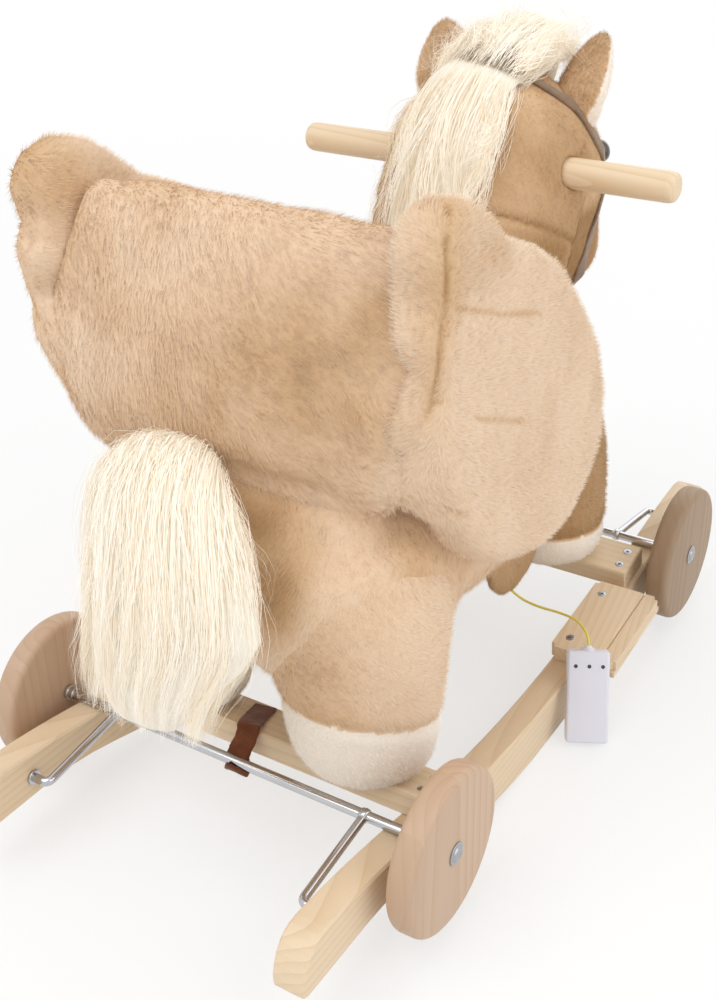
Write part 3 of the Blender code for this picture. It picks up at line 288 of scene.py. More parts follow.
def hair_core(name, looks):
    """The inside of the mane and tail, streaked along the hair, with the stubble of the parting on top."""
    shade = Shade(name, Roughness=0.85, Specular_IOR_Level=0.1)
    comb = shade.add("ShaderNodeAttribute", {"attribute_name": "comb"}, out=1)
    streak = shade.noise(comb, 520.0, 4.0, 0.65)
    lock = shade.noise(comb, 110.0, 2.0)
    pale = shade.mix((streak - 0.30) * 2.2, toned(looks.hair, 0.93), toned(looks.hair, 1.04))
    pale = shade.mix((lock - 0.52) * 1.2, pale, (0.93, 0.83, 0.66))
    parts = shade.split(shade.place(location=(0.006, 0.147, -0.508)))
    near = (parts[0] * parts[0] * 0.16 + parts[1] * parts[1] + parts[2] * parts[2] * 0.5) ** 0.5
    stubble = shade.noise(shade.place(), 700.0, 3.0, 0.7)
    dark = shade.mix(stubble, (0.16, 0.11, 0.07), (0.50, 0.40, 0.29))
    shade.set(Base_Color=shade.mix((0.015 - near + (stubble - 0.5) * 0.008) * 260.0, pale, dark))
    shade.bump(streak + lock, 0.8, 0.0016)
    return shade.mat


def suede(name, color, worn):
    """Suede with nap, rubbed patches and creases."""
    shade = Shade(name, Roughness=0.9, Specular_IOR_Level=0.2, Sheen_Weight=0.4, Sheen_Roughness=0.5)
    nap = shade.noise(shade.place(), 900.0, 4.0, 0.7)
    rub = shade.noise(shade.place(), 90.0, 3.0)
    crease = shade.noise(shade.place((1.0, 3.0, 1.0)), 220.0, 2.0)
    base = shade.mix((rub - 0.38) * 1.8, color, worn)
    shade.set(Base_Color=shade.mix((nap - 0.45) * 0.8, base, toned(color, 0.45)))
    shade.set(Roughness=0.72 + nap * 0.25)
    shade.bump(nap * 0.5 + crease, 0.55, 0.0008)
    return shade.mat


def plastic(name, color, rough):
    """Plastic with a fine grain."""
    shade = Shade(name, Specular_IOR_Level=0.5)
    texture = shade.noise(shade.place(), 1600.0, 2.0)
    cloud = shade.noise(shade.place(), 60.0, 2.0)
    shade.set(Base_Color=shade.mix((cloud - 0.4) * 0.5, color, toned(color, 0.93)))
    shade.set(Roughness=rough + (cloud - 0.5) * 0.12 + texture * 0.06)
    shade.bump(texture, 0.08, 0.0003)
    return shade.mat


def glass_eye(name):
    """Dark brown glass with specks, under a clear coat."""
    shade = Shade(name, Specular_IOR_Level=0.6, Coat_Weight=0.6, Coat_Roughness=0.03)
    speck = shade.noise(shade.place(), 700.0, 3.0)
    shade.set(Base_Color=shade.mix(speck, (0.012, 0.007, 0.005), (0.055, 0.028, 0.014)))
    shade.set(Roughness=0.06 + speck * 0.04)
    return shade.mat


MATS = {}
COLOR = {"subtype": "COLOR", "min": 0.0, "max": 1.0}


class PlushHorseLooks(bpy.types.PropertyGroup):
    """Colours and finishes"""

    plush_dark: FloatVectorProperty(
        name="Plush, brushed against the nap", description="Colour where the plush looks deepest",
        default=(0.44, 0.275, 0.135), **COLOR)
    plush_mid: FloatVectorProperty(
        name="Plush", description="Main colour of the plush",
        default=(0.72, 0.525, 0.340), **COLOR)
    plush_light: FloatVectorProperty(
        name="Plush, along the nap", description="Colour where the plush looks palest",
        default=(0.87, 0.715, 0.560), **COLOR)
    plush_cream: FloatVectorProperty(
        name="Hooves and ear linings", description="Colour of the pale plush",
        default=(1.0, 0.975, 0.93), **COLOR)
    hair: FloatVectorProperty(
        name="Mane and tail", description="Colour of the long hair",
        default=(0.97, 0.91, 0.80), **COLOR)
    pine: FloatVectorProperty(
        name="Pine", description="Colour of the frame's wood",
        default=(0.76, 0.61, 0.43), **COLOR)
    wheel_wood: FloatVectorProperty(
        name="Wheel wood", description="Colour of the wheels",
        default=(0.60, 0.435, 0.315), **COLOR)
    chrome: FloatVectorProperty(
        name="Plated steel", description="Colour of the rods",
        default=(0.56, 0.56, 0.58), **COLOR)
    suede: FloatVectorProperty(
        name="Strap suede", description="Colour of the strap",
        default=(0.135, 0.035, 0.012), **COLOR)
    bridle: FloatVectorProperty(
        name="Bridle suede", description="Colour of the bridle",
        default=(0.23, 0.145, 0.085), **COLOR)
    box: FloatVectorProperty(
        name="Sound box", description="Colour of the sound box",
        default=(0.76, 0.77, 0.86), **COLOR)
    cable: FloatVectorProperty(
        name="Cable", description="Colour of the cable",
        default=(0.80, 0.68, 0.12), **COLOR)


class PlushHorseSizes(bpy.types.PropertyGroup):
    """Sizes of the pile, the hair and the turned pieces"""

    body_pile: FloatProperty(
        name="Body pile", description="Length of the plush on the body", default=0.0076,
        subtype="DISTANCE", unit="LENGTH", min=0.002, max=0.015)
    head_pile: FloatProperty(
        name="Head pile", description="Length of the plush on the head", default=0.0052,
        subtype="DISTANCE", unit="LENGTH", min=0.002, max=0.012)
    hair_width: FloatProperty(
        name="Tuft width", description="Width of a tuft of pile at its root", default=0.00044,
        subtype="DISTANCE", unit="LENGTH", min=0.0002, max=0.002)
    strand_radius: FloatProperty(
        name="Strand radius", description="Radius of a strand of the mane and tail", default=0.00027,
        subtype="DISTANCE", unit="LENGTH", min=0.0001, max=0.002)
    tail_strands: IntProperty(
        name="Tail strands", description="How many strands the tail has", default=5000, min=100, max=9000)
    mane_strands: IntProperty(
        name="Mane strands", description="How many strands the mane has", default=4300, min=100, max=9000)
    wheel_round: FloatProperty(
        name="Wheel rounding", description="Rounding of a wheel's rim", default=0.0060,
        subtype="DISTANCE", unit="LENGTH", min=0.001, max=0.009)


def deselect():
    """Leaves edit mode with nothing selected."""
    if bpy.context.object and bpy.context.object.mode != "OBJECT":
        bpy.ops.object.mode_set(mode="OBJECT")
    bpy.ops.object.select_all(action="DESELECT")


def only(obj):
    """Makes an object the one that is selected and active."""
    deselect()
    obj.select_set(True)
    bpy.context.view_layer.objects.active = obj
    return obj


def settled(obj, name, matrix=None):
    """Names a new object and puts its place and turn into its mesh."""
    obj.name = name
    obj.data.name = name
    bpy.context.view_layer.update()
    obj.data.transform((matrix or Matrix.Identity(4)) @ obj.matrix_world)
    obj.matrix_world = Matrix.Identity(4)
    return obj


def apply(obj, kind, **settings):
    """Adds a modifier and applies it."""
    only(obj)
    mod = obj.modifiers.new(kind.lower(), kind)
    for key, value in settings.items():
        setattr(mod, key, value)
    bpy.ops.object.modifier_apply(modifier=mod.name)
    return obj


def linked(name, data):
    """A new object in the scene."""
    obj = bpy.data.objects.new(name, data)
    bpy.context.scene.collection.objects.link(obj)
    return obj


def wear(obj, mat, body=ROOT, replaces=(), smooth=35.0):
    """Gives a finished piece its material, shading (smooth all over at 0) and body, and hides the CAD nodes
    that it replaces.
    """
    obj.data.materials.clear()
    obj.data.materials.append(mat)
    only(obj)
    if smooth:
        bpy.ops.object.shade_smooth_by_angle(angle=math.radians(smooth))
    else:
        obj.data.shade_smooth()
    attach(obj, body)
    if replaces:
        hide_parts(*replaces)
    deselect()


def paint(node, mat):
    """Gives a CAD node that stays its material."""
    NODES[node].data.materials.clear()
    NODES[node].data.materials.append(mat)


def closed(obj, gap=MERGE_GAP):
    """Merges a mesh's doubles, if a gap is given, and turns its faces outward."""
    only(obj)
    bpy.ops.object.mode_set(mode="EDIT")
    bpy.ops.mesh.select_all(action="SELECT")
    if gap:
        bpy.ops.mesh.remove_doubles(threshold=gap)
    bpy.ops.mesh.normals_make_consistent(inside=False)
    bpy.ops.object.mode_set(mode="OBJECT")
    return obj


def spun(name, profile, steps=48):
    """Spins an open (radius, height) outline round Z into a closed shape."""
    mesh = bpy.data.meshes.new(name)
    mesh.from_pydata([(r, 0.0, h) for r, h in profile], [(k, k + 1) for k in range(len(profile) - 1)], [])
    obj = only(linked(name, mesh))
    bpy.ops.object.mode_set(mode="EDIT")
    bpy.ops.mesh.select_all(action="SELECT")
    bpy.ops.mesh.spin(steps=steps, angle=2 * math.pi, center=(0, 0, 0), axis=(0, 0, 1))
    return closed(obj)


def rounded(corners, radius, steps=4):
    """Rounds the inner corners of an open outline of (radius, height) points."""
    out = [corners[0]]
    for before, here, after in zip(corners, corners[1:], corners[2:]):
        a, b, c = Vector(before), Vector(here), Vector(after)
        r = min(radius, (a - b).length * 0.45, (c - b).length * 0.45)
        p, q = b + (a - b).normalized() * r, b + (c - b).normalized() * r
        for k in range(steps + 1):
            t = k / steps
            out.append(tuple(p * (1 - t) ** 2 + b * 2 * t * (1 - t) + q * t ** 2))
    return out + [corners[-1]]


def along_x(x, y, z, turn=1):
    """Lays a shape that was spun round Z along X, at a place."""
    return Matrix.Translation((x, y, z)) @ Matrix.Rotation(turn * math.pi / 2, 4, "Y")


def middle(node):
    low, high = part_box(node)
    return (Vector(low) + Vector(high)) / 2


def line_curve(name, points, radius, rings):
    """A round bevelled curve along a line of points."""
    curve = bpy.data.curves.new(name, "CURVE")
    curve.dimensions = "3D"
    curve.bevel_depth = radius
    curve.bevel_resolution = rings
    curve.use_fill_caps = True
    spline = curve.splines.new("POLY")
    spline.points.add(len(points) - 1)
    for point, place in zip(spline.points, points):
        point.co = (*place, 1.0)
    return linked(name, curve)


def tube(name, points, radius, rings=8):
    """A round bar along a line of points."""
    only(line_curve(name, points, radius, rings))
    bpy.ops.object.convert(target="MESH")
    return closed(bpy.context.object)


def joined(name, parts):
    """Makes several meshes one."""
    only(parts[0])
    for part in parts:
        part.select_set(True)
    bpy.ops.object.join()
    return settled(parts[0], name)


def patches(points, size, seed):
    """Smooth values from 0 to 1 over space, in patches of about a size."""
    q = points / size + seed * 7.31
    cell = np.floor(q).astype(np.int64)
    f = q - cell
    f = f * f * (3 - 2 * f)
    total = np.zeros(len(points))
    for dx in (0, 1):
        for dy in (0, 1):
            for dz in (0, 1):
                c = cell + (dx, dy, dz)
                h = (c[:, 0] * 73856093) ^ (c[:, 1] * 19349663) ^ (c[:, 2] * 83492791) ^ (seed * 2654435)
                h = (h * 2246822519 + 3266489917) & 0xFFFFFFFF
                h = ((h ^ (h >> 15)) * 2654435761) & 0xFFFFFFFF
                share = (np.where(dx, f[:, 0], 1 - f[:, 0]) * np.where(dy, f[:, 1], 1 - f[:, 1])
                         * np.where(dz, f[:, 2], 1 - f[:, 2]))
                total += share * (h / 2 ** 32)
    return total


def unit(vectors):
    return vectors / np.maximum(np.linalg.norm(vectors, axis=-1, keepdims=True), TINY)


def verts_of(obj, kind="co"):
    """A mesh's points or, with kind "normal", their normals."""
    data = np.empty(len(obj.data.vertices) * 3)
    obj.data.vertices.foreach_get(kind, data)
    return data.reshape(-1, 3)


def normals_of(obj):
    return verts_of(obj, "normal")


def move(obj, co):
    """Puts a mesh's points in new places."""
    obj.data.vertices.foreach_set("co", co.ravel())
    obj.data.update()


def triangles_of(obj):
    obj.data.calc_loop_triangles()
    tri = np.empty(len(obj.data.loop_triangles) * 3, np.int32)
    obj.data.loop_triangles.foreach_get("vertices", tri)
    return tri.reshape(-1, 3)


def hump(away, width):
    """1 on a place or line and 0 well away from it."""
    return np.exp(-(away / width) ** 2)


def part_of(value, whole):
    """A value's share of a whole, held between 0 and 1."""
    return np.clip(value / whole, 0, 1)


def pelt(tone):
    """A tone held to the brown stretch of the plush's colours."""
    return np.clip(tone, 0.02, 0.76)


def from_place(points, place, stretch=(1.0, 1.0, 1.0)):
    return np.linalg.norm((points - place) * stretch, axis=1)


def to_lines(points, lines):
    """Distance of each point from the nearest seam, a polyline or a function of the points."""
    best = np.full(len(points), FAR)
    for line in lines:
        if callable(line):
            best = np.minimum(best, line(points))
            continue
        for a, b in zip(line, line[1:]):
            a, b = np.array(a), np.array(b)
            t = np.clip((points - a) @ (b - a) / max((b - a) @ (b - a), TINY), 0, 1)
            best = np.minimum(best, np.linalg.norm(points - a - t[:, None] * (b - a), axis=1))
    return best


def softened(node, name, voxel, rounds):
    """A CAD node's mesh, merged, remeshed and smoothed."""
    obj = closed(linked(name, NODES[node].data.copy()), 2 * MERGE_GAP)
    apply(obj, "REMESH", mode="VOXEL", voxel_size=voxel)
    return apply(obj, "SMOOTH", factor=0.5, iterations=rounds)


def stuffed(node, name, voxel, rounds, swell=0.0, lumps=0.0012, seams=(), seam_depth=0.004, seam_width=0.006,
            seed=1, shape=None):
    """A soft form from its CAD solid: swollen, lumpy, and drawn in at its seams."""
    obj = softened(node, name, voxel, rounds)
    co, no = verts_of(obj), normals_of(obj)
    push = np.full(len(co), swell)
    push += lumps * 2 * (patches(co, 0.045, seed) - 0.5) + lumps * (patches(co, 0.020, seed + 5) - 0.5)
    if seams:
        away = to_lines(co, seams)
        pucker = 0.55 + 0.9 * patches(co, 0.011, seed + 9)
        push -= seam_depth * pucker * hump(away, seam_width)
        push += 0.35 * seam_depth * pucker * hump(away - 2.6 * seam_width, 1.6 * seam_width)
    co = co + no * push[:, None]
    move(obj, shape(co) if shape else co)
    return obj


def ease(obj, others, height, width):
    """Raises a soft form where it meets others, so that the stuffing runs on from one to the next."""
    co, no = verts_of(obj), normals_of(obj)
    push = np.zeros(len(co))
    for other in others:
        for k, point in enumerate(co):
            hit = other.find_nearest(Vector(point), width * 2.5)
            if hit[0] is not None:
                push[k] = max(push[k], height * math.exp(-(hit[3] / width) ** 2))
    move(obj, co + no * push[:, None])
    apply(obj, "SMOOTH", factor=0.5, iterations=4)


def stain(obj, tone):
    """Stores each point's tone for the backing."""
    attribute = obj.data.attributes.new("tone", "FLOAT", "POINT")
    attribute.data.foreach_set("value", tone(verts_of(obj), normals_of(obj)).astype(np.float32))


def tree_of(obj):
    return BVHTree.FromPolygons([tuple(v) for v in verts_of(obj)], triangles_of(obj).tolist())


def column(tones):
    """The place on the map of each hair's tone."""
    return (np.floor(np.clip(tones, 0, 0.999) * TONES) + 0.5) / TONES


def spikes(name, roots, tips, normals, widths, tones):
    """Closed hairs of three sides, one per root, flat side up, whose map holds tone and height."""
    count = len(roots)
    along = unit(tips - roots)
    side = unit(np.cross(along, normals)) * widths[:, None]
    under = np.cross(along, side) * 0.6
    co = np.stack([roots + side, roots + under, roots - side, tips], 1)
    first = np.arange(count)[:, None, None] * 4
    faces = first + np.array([[0, 1, 3], [1, 2, 3], [2, 0, 3], [2, 1, 0]])[None]
    u = np.array([-HALF_COLUMN, HALF_COLUMN, 0.0] * 4)[None] + column(tones)[:, None]
    v = np.array([0.02, 0.02, 0.98] * 3 + [0.02, 0.02, 0.06])[None].repeat(count, 0)
    return hair_mesh(name, co, faces, u, v)


def hair_mesh(name, co, faces, u, v):
    """A flat-shaded mesh of triangles with its map."""
    faces = faces.reshape(-1, 3)
    mesh = bpy.data.meshes.new(name)
    mesh.vertices.add(co.size // 3)
    mesh.vertices.foreach_set("co", co.ravel())
    mesh.loops.add(len(faces) * 3)
    mesh.loops.foreach_set("vertex_index", faces.ravel().astype(np.int32))
    mesh.polygons.add(len(faces))
    mesh.polygons.foreach_set("loop_start", np.arange(len(faces), dtype=np.int32) * 3)
    mesh.update(calc_edges=True)
    layer = mesh.uv_layers.new(name=PILE_MAP)
    layer.uv.foreach_set("vector", np.stack([u.ravel(), v.ravel()], 1).ravel().astype(np.float32))
    mesh.shade_flat()
    return linked(name, mesh)


HIDDEN_UNDER = 0.0030
TUFT = 0.0042
ROOT_DEPTH = 0.0007


def grow_pile(obj, name, count, length, flow, tone, near, lean=64.0, clump=0.40, seed=1, seams=(), fine=1.0,
              swirl=1.1):
    """Covers a soft form with pile that lies along a flow and skips what its neighbours hide."""
    rng = np.random.default_rng(seed)
    tri, co, no = triangles_of(obj), verts_of(obj), normals_of(obj)
    area = np.linalg.norm(np.cross(co[tri[:, 1]] - co[tri[:, 0]], co[tri[:, 2]] - co[tri[:, 0]]), axis=1)
    pick = rng.choice(len(tri), size=count, p=area / area.sum())
    w = rng.dirichlet((1, 1, 1), count)
    root = (co[tri[pick]] * w[:, :, None]).sum(1)
    normal = unit((no[tri[pick]] * w[:, :, None]).sum(1))
    shown = []
    for p, n in zip(map(Vector, root), map(Vector, normal)):
        start = p + n * 0.0003
        shown.append(all(other.ray_cast(start, n, HIDDEN_UNDER)[0] is None for other in near))
    root, normal = root[shown], normal[shown]
    count = len(root)
    turn = np.stack([patches(root, 0.055, seed + k) for k in (11, 12, 13)], 1) - 0.5
    curl = np.stack([patches(root, 0.012, seed + k) for k in (14, 15, 16)], 1) - 0.5
    way = unit(flow(root, normal)) + turn * swirl + curl * 0.40 + rng.normal(size=(count, 3)) * 0.11
    way = unit(way - normal * (way * normal).sum(1)[:, None])
    lift = lean + (patches(root, 0.016, seed + 17) - 0.5) * 9 + rng.normal(size=count) * 5
    lift = np.radians(np.clip(lift, 20, 82))
    size = length * (0.70 + 0.45 * rng.random(count))
    if seams:
        size = np.minimum(size, 0.0016 + to_lines(root, seams) * 1.0)
    dark = tone(root, normal)
    pale = dark > CREAM - 0.06
    size = np.where(pale, size * 0.62, size)
    tip = root + (normal * np.cos(lift)[:, None] + way * np.sin(lift)[:, None]) * size[:, None]
    cell = np.floor((root + rng.normal(size=(count, 3)) * 0.0009) / TUFT).astype(np.int64)
    key = cell[:, 0] * 92821 + cell[:, 1] * 689287 + cell[:, 2] * 283923
    _, group = np.unique(key, return_inverse=True)
    group = group.ravel()
    total = np.bincount(group)
    mean = np.stack([np.bincount(group, tip[:, k]) / total for k in range(3)], 1)
    tip = tip + (mean[group] - tip) * clump
    start = root - normal * ROOT_DEPTH
    tones = dark + (rng.random(count) - 0.5) * 0.16 + (rng.random(len(total))[group] - 0.5) * 0.10
    tones = np.where(pale, np.clip(tones, 0.87, 0.99), np.clip(tones, 0.01, 0.78))
    widths = sizes().hair_width * 0.5 * fine * (0.8 + 0.5 * rng.random(count))
    made = spikes(name, start, tip, normal, widths, tones)
    made.data.materials.append(MATS["pile"])
    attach(made, ROOT)


def sizes():
    return bpy.context.scene.plush_horse_sizes


def looks():
    return bpy.context.scene.plush_horse_looks


def ways(*parts):
    """Directions from their three parts."""
    return np.stack(np.broadcast_arrays(*parts), 1)


def fixed(*way):
    """A flow that is the same everywhere."""
    def flow(points, normals):
        return np.tile(np.array(way, float), (len(points), 1))
    return flow


def even_tone(base, seed, spread=0.20):
    """A tone that drifts in brushed patches round a base value."""
    def tone(points, normals):
        slow = patches(points, 0.060, seed) - 0.5
        quick = patches(points * (1.0, 1.0, 0.6), 0.020, seed + 3) - 0.5
        return pelt(base + slow * spread * 1.6 + quick * spread * 0.9)
    return tone


def with_seams(tone, seams, deep):
    """A tone with a deep thin line of painted shade along each seam's crease."""
    def seamed(points, normals):
        away = to_lines(points, seams)
        # Painted shade in the seam's crease.
        return np.clip(tone(points, normals) - deep * hump(away, 0.0020), 0.0, 0.99)
    return seamed


def patched(tone, points, places, stretch, seed):
    """A tone with deeper patches, each a place, a size and a depth."""
    for place, size, deep in places:
        away = from_place(points, place, stretch)
        tone = tone - deep * hump(away, size) * (0.7 + 0.6 * patches(points, 0.018, seed))
    return tone


def mirror(lines):
    return [[(-x, y, z) for x, y, z in line] for line in lines]


WING_EDGE = [(-0.151, 0.190, 0.502), (-0.159, 0.207, 0.486), (-0.161, 0.208, 0.455), (-0.160, 0.213, 0.428),
             (-0.155, 0.212, 0.396), (-0.147, 0.211, 0.368), (-0.142, 0.205, 0.345), (-0.141, 0.187, 0.313)]
WING_DARTS = [
    [(-0.163, 0.199, 0.447), (-0.162, 0.144, 0.425), (-0.159, 0.080, 0.404)],
    [(-0.156, 0.212, 0.395), (-0.163, 0.174, 0.369), (-0.161, 0.106, 0.339)],
    [(-0.148, 0.186, 0.312), (-0.156, 0.181, 0.306), (-0.161, 0.145, 0.289)],
]
WING_WAIST = [(0.126, 0.212, 0.441), (0.1296, 0.2143, 0.4418), (0.1442, 0.2176, 0.4424),
              (0.1586, 0.2102, 0.4516)]
BACK_SEAM = [(0.080, 0.236, 0.320), (0.041, 0.238, 0.325), (-0.002, 0.239, 0.331), (-0.040, 0.238, 0.328),
             (-0.074, 0.234, 0.322), (-0.100, 0.222, 0.320)]


NECK_Y, NECK_Z, NECK_SLOPE, NECK_SLANT = -0.0801, 0.4088, 0.52, 1.127
THROAT_Y = -0.205
CUFF_FRONT = 0.112
CUFF_REAR, CUFF_REAR_Y, CUFF_SLOPE = 0.128, 0.165, 0.33
# Deeper patches on the torso, each a place, a size and a depth. The two on the right beside the tail are
# painted shadow of the tail.
TORSO_PATCHES_AND_TAIL_SHADOW = (
    ((-0.121, 0.165, 0.262), 0.050, 0.14), ((-0.040, 0.235, 0.295), 0.030, 0.34),
    ((-0.055, 0.243, 0.245), 0.028, 0.34), ((0.040, 0.262, 0.290), 0.026, 0.25))
BACK_PATCHES = (
    ((-0.092, 0.221, 0.410), 0.052, 0.18), ((-0.050, 0.224, 0.405), 0.044, 0.14),
    ((-0.108, 0.222, 0.385), 0.040, 0.16), ((-0.004, 0.235, 0.372), 0.045, 0.15),
    ((-0.116, 0.203, 0.440), 0.020, 0.16), ((0.045, 0.235, 0.350), 0.035, 0.08))


def neck_seam(points):
    """The seam where the head is sewn to the neck lies in a sloping plane and stops at the throat."""
    _, y, z = points.T
    return np.where(y > THROAT_Y, np.abs(z - NECK_Z - NECK_SLOPE * (y - NECK_Y)) / NECK_SLANT, FAR)


def cuff_height(end, points):
    """Height of the seam where the pale hoof is sewn to the leg. It slopes on the rear legs."""
    if end == "rear":
        return CUFF_REAR + CUFF_SLOPE * (points[:, 1] - CUFF_REAR_Y)
    return np.full(len(points), CUFF_FRONT)


def cuff_seam(end):
    def away(points):
        return np.abs(points[:, 2] - cuff_height(end, points))
    return away


CAMERA_ANGLES = (212.613, 28.923, -0.978)
CAMERA_PLACE = (-0.4949, 0.8238, 0.7165)
SENSOR = 36.0
FOCAL_SHARE = 1.34735
LAMPS = (("key", (0.45, 1.55, 2.3), 1.8, 26.0), ("side", (-2.0, 0.1, 1.5), 2.2, 16.0),
         ("front", (0.3, -2.3, 1.6), 2.2, 14.0))
LAMP_AIM = (0, 0, 0.2)
FLOOR_SIZE = 40.0
FLOOR_GLOW = (0.55, 1.6, 0.62)
WORLD_STRENGTH = 0.69


class HORSE_OT_stage(bpy.types.Operator):
    """Camera at the photograph's angle, pale floor and soft lamps"""

    bl_idname = "horse.stage"
    bl_label = "Studio"

    def execute(self, context):
        azimuth, pitch, roll = map(math.radians, CAMERA_ANGLES)
        right = Vector((math.cos(azimuth), math.sin(azimuth), 0.0))
        level = math.cos(pitch)
        back = Vector((math.sin(azimuth) * level, -math.cos(azimuth) * level, math.sin(pitch)))
        up = back.cross(right)
        side = right * math.cos(roll) + up * math.sin(roll)
        over = up * math.cos(roll) - right * math.sin(roll)
        camera = linked("camera", bpy.data.cameras.new("camera"))
        camera.data.sensor_width = SENSOR
        camera.data.lens = FOCAL_SHARE * SENSOR
        turn = Matrix((side, over, back)).transposed().to_4x4()
        camera.matrix_world = Matrix.Translation(CAMERA_PLACE) @ turn
        context.scene.camera = camera
        context.scene.view_settings.view_transform = "Standard"
        for name, place, size, power in LAMPS:
            lamp = linked(name, bpy.data.lights.new(name, "AREA"))
            lamp.data.size = size
            lamp.data.energy = power
            lamp.location = place
            lamp.rotation_euler = (Vector(LAMP_AIM) - Vector(place)).to_track_quat("-Z", "Y").to_euler()
        self.floor()
        self.world(context)
        return {"FINISHED"}

    def floor(self):
        deselect()
        bpy.ops.mesh.primitive_plane_add(size=FLOOR_SIZE, location=(0, 0, 0))
        floor = settled(bpy.context.object, "floor")
        shade = Shade("floor", Roughness=0.9, Specular_IOR_Level=0.1)
        grain = shade.noise(shade.place(), 3.0)
        shade.set(Base_Color=shade.mix(grain, (0.90, 0.90, 0.90), (0.93, 0.93, 0.93)))
        path = shade.tree.nodes.new("ShaderNodeLightPath")
        rays = ("Is Camera Ray", "Is Glossy Ray", "Is Transmission Ray")
        seen = [Sock(shade, path.outputs[name]) for name in rays]
        glow = shade.add("ShaderNodeEmission", None, (1.0, 1.0, 1.0), 1.0)
        parts = shade.split(shade.place())
        away = (parts[0] * parts[0] + parts[1] * parts[1]) ** 0.5
        start, fade, near = FLOOR_GLOW
        far = ((away - start) / fade).math("MAXIMUM", 0.0).math("MINIMUM", 1.0)
        share = (seen[0] + seen[1] + seen[2]).math("MINIMUM", 1.0) * (near + far * (1 - near))
        mixed = shade.add("ShaderNodeMixShader", None, share)
        node = mixed.out.node
        shade.tree.links.new(shade.shader.outputs[0], node.inputs[1])
        shade.tree.links.new(glow.out, node.inputs[2])
        shade.tree.links.new(node.outputs[0], shade.tree.nodes["Material Output"].inputs[0])
        floor.data.materials.append(shade.mat)

    def world(self, context):
        world = bpy.data.worlds.new("studio")
        world.use_nodes = True
        tree = world.node_tree
        path = tree.nodes.new("ShaderNodeLightPath")
        background = tree.nodes["Background"]
        add = tree.nodes.new("ShaderNodeMath")
        add.use_clamp = True
        tree.links.new(path.outputs["Is Camera Ray"], add.inputs[0])
        tree.links.new(path.outputs["Is Glossy Ray"], add.inputs[1])
        strength = tree.nodes.new("ShaderNodeMath")
        strength.operation = "MULTIPLY_ADD"
        tree.links.new(add.outputs[0], strength.inputs[0])
        strength.inputs[1].default_value = 1 - WORLD_STRENGTH
        strength.inputs[2].default_value = WORLD_STRENGTH
        tree.links.new(strength.outputs[0], background.inputs["Strength"])
        background.inputs["Color"].default_value = (1.0, 1.0, 1.0, 1.0)
        context.scene.world = world


class HORSE_OT_materials(bpy.types.Operator):
    """Materials shared by the pieces"""

    bl_idname = "horse.materials"
    bl_label = "Materials"

    def execute(self, context):
        c = looks()
        MATS["skin"] = plush_skin("plush_skin", c)
        MATS["pile"] = plush_pile("plush_pile", c)
        MATS["hair"] = long_hair("long_hair", c)
        MATS["core"] = hair_core("hair_core", c)
        MATS["chrome"] = steel("plated_rod", c.chrome, 0.10, 0)
        MATS["zinc"] = steel("zinc_screw", (0.42, 0.43, 0.45), 0.24, 2)
        MATS["strap"] = suede("strap_suede", c.suede, (0.26, 0.085, 0.03))
        MATS["bridle"] = suede("bridle_suede", c.bridle, (0.34, 0.23, 0.145))
        MATS["box"] = plastic("box_plastic", c.box, 0.32)
        MATS["dots"] = plastic("box_ports", (0.05, 0.05, 0.06), 0.4)
        MATS["cable"] = plastic("cable_sleeve", c.cable, 0.35)
        MATS["eye"] = glass_eye("eye_glass")
        MATS["post"] = pine("post_pine", toned(c.pine, 0.9), 2, (0.0, 0.06, 0.0))
        return {"FINISHED"}


WHEEL_BORE = 0.0044
STAVE = 0.047
# Browner wood for the front wheels, darkened further with painted shade for their shaded faces.
FRONT_WHEEL_WOOD_AND_SHADE = (0.37, 0.265, 0.175)


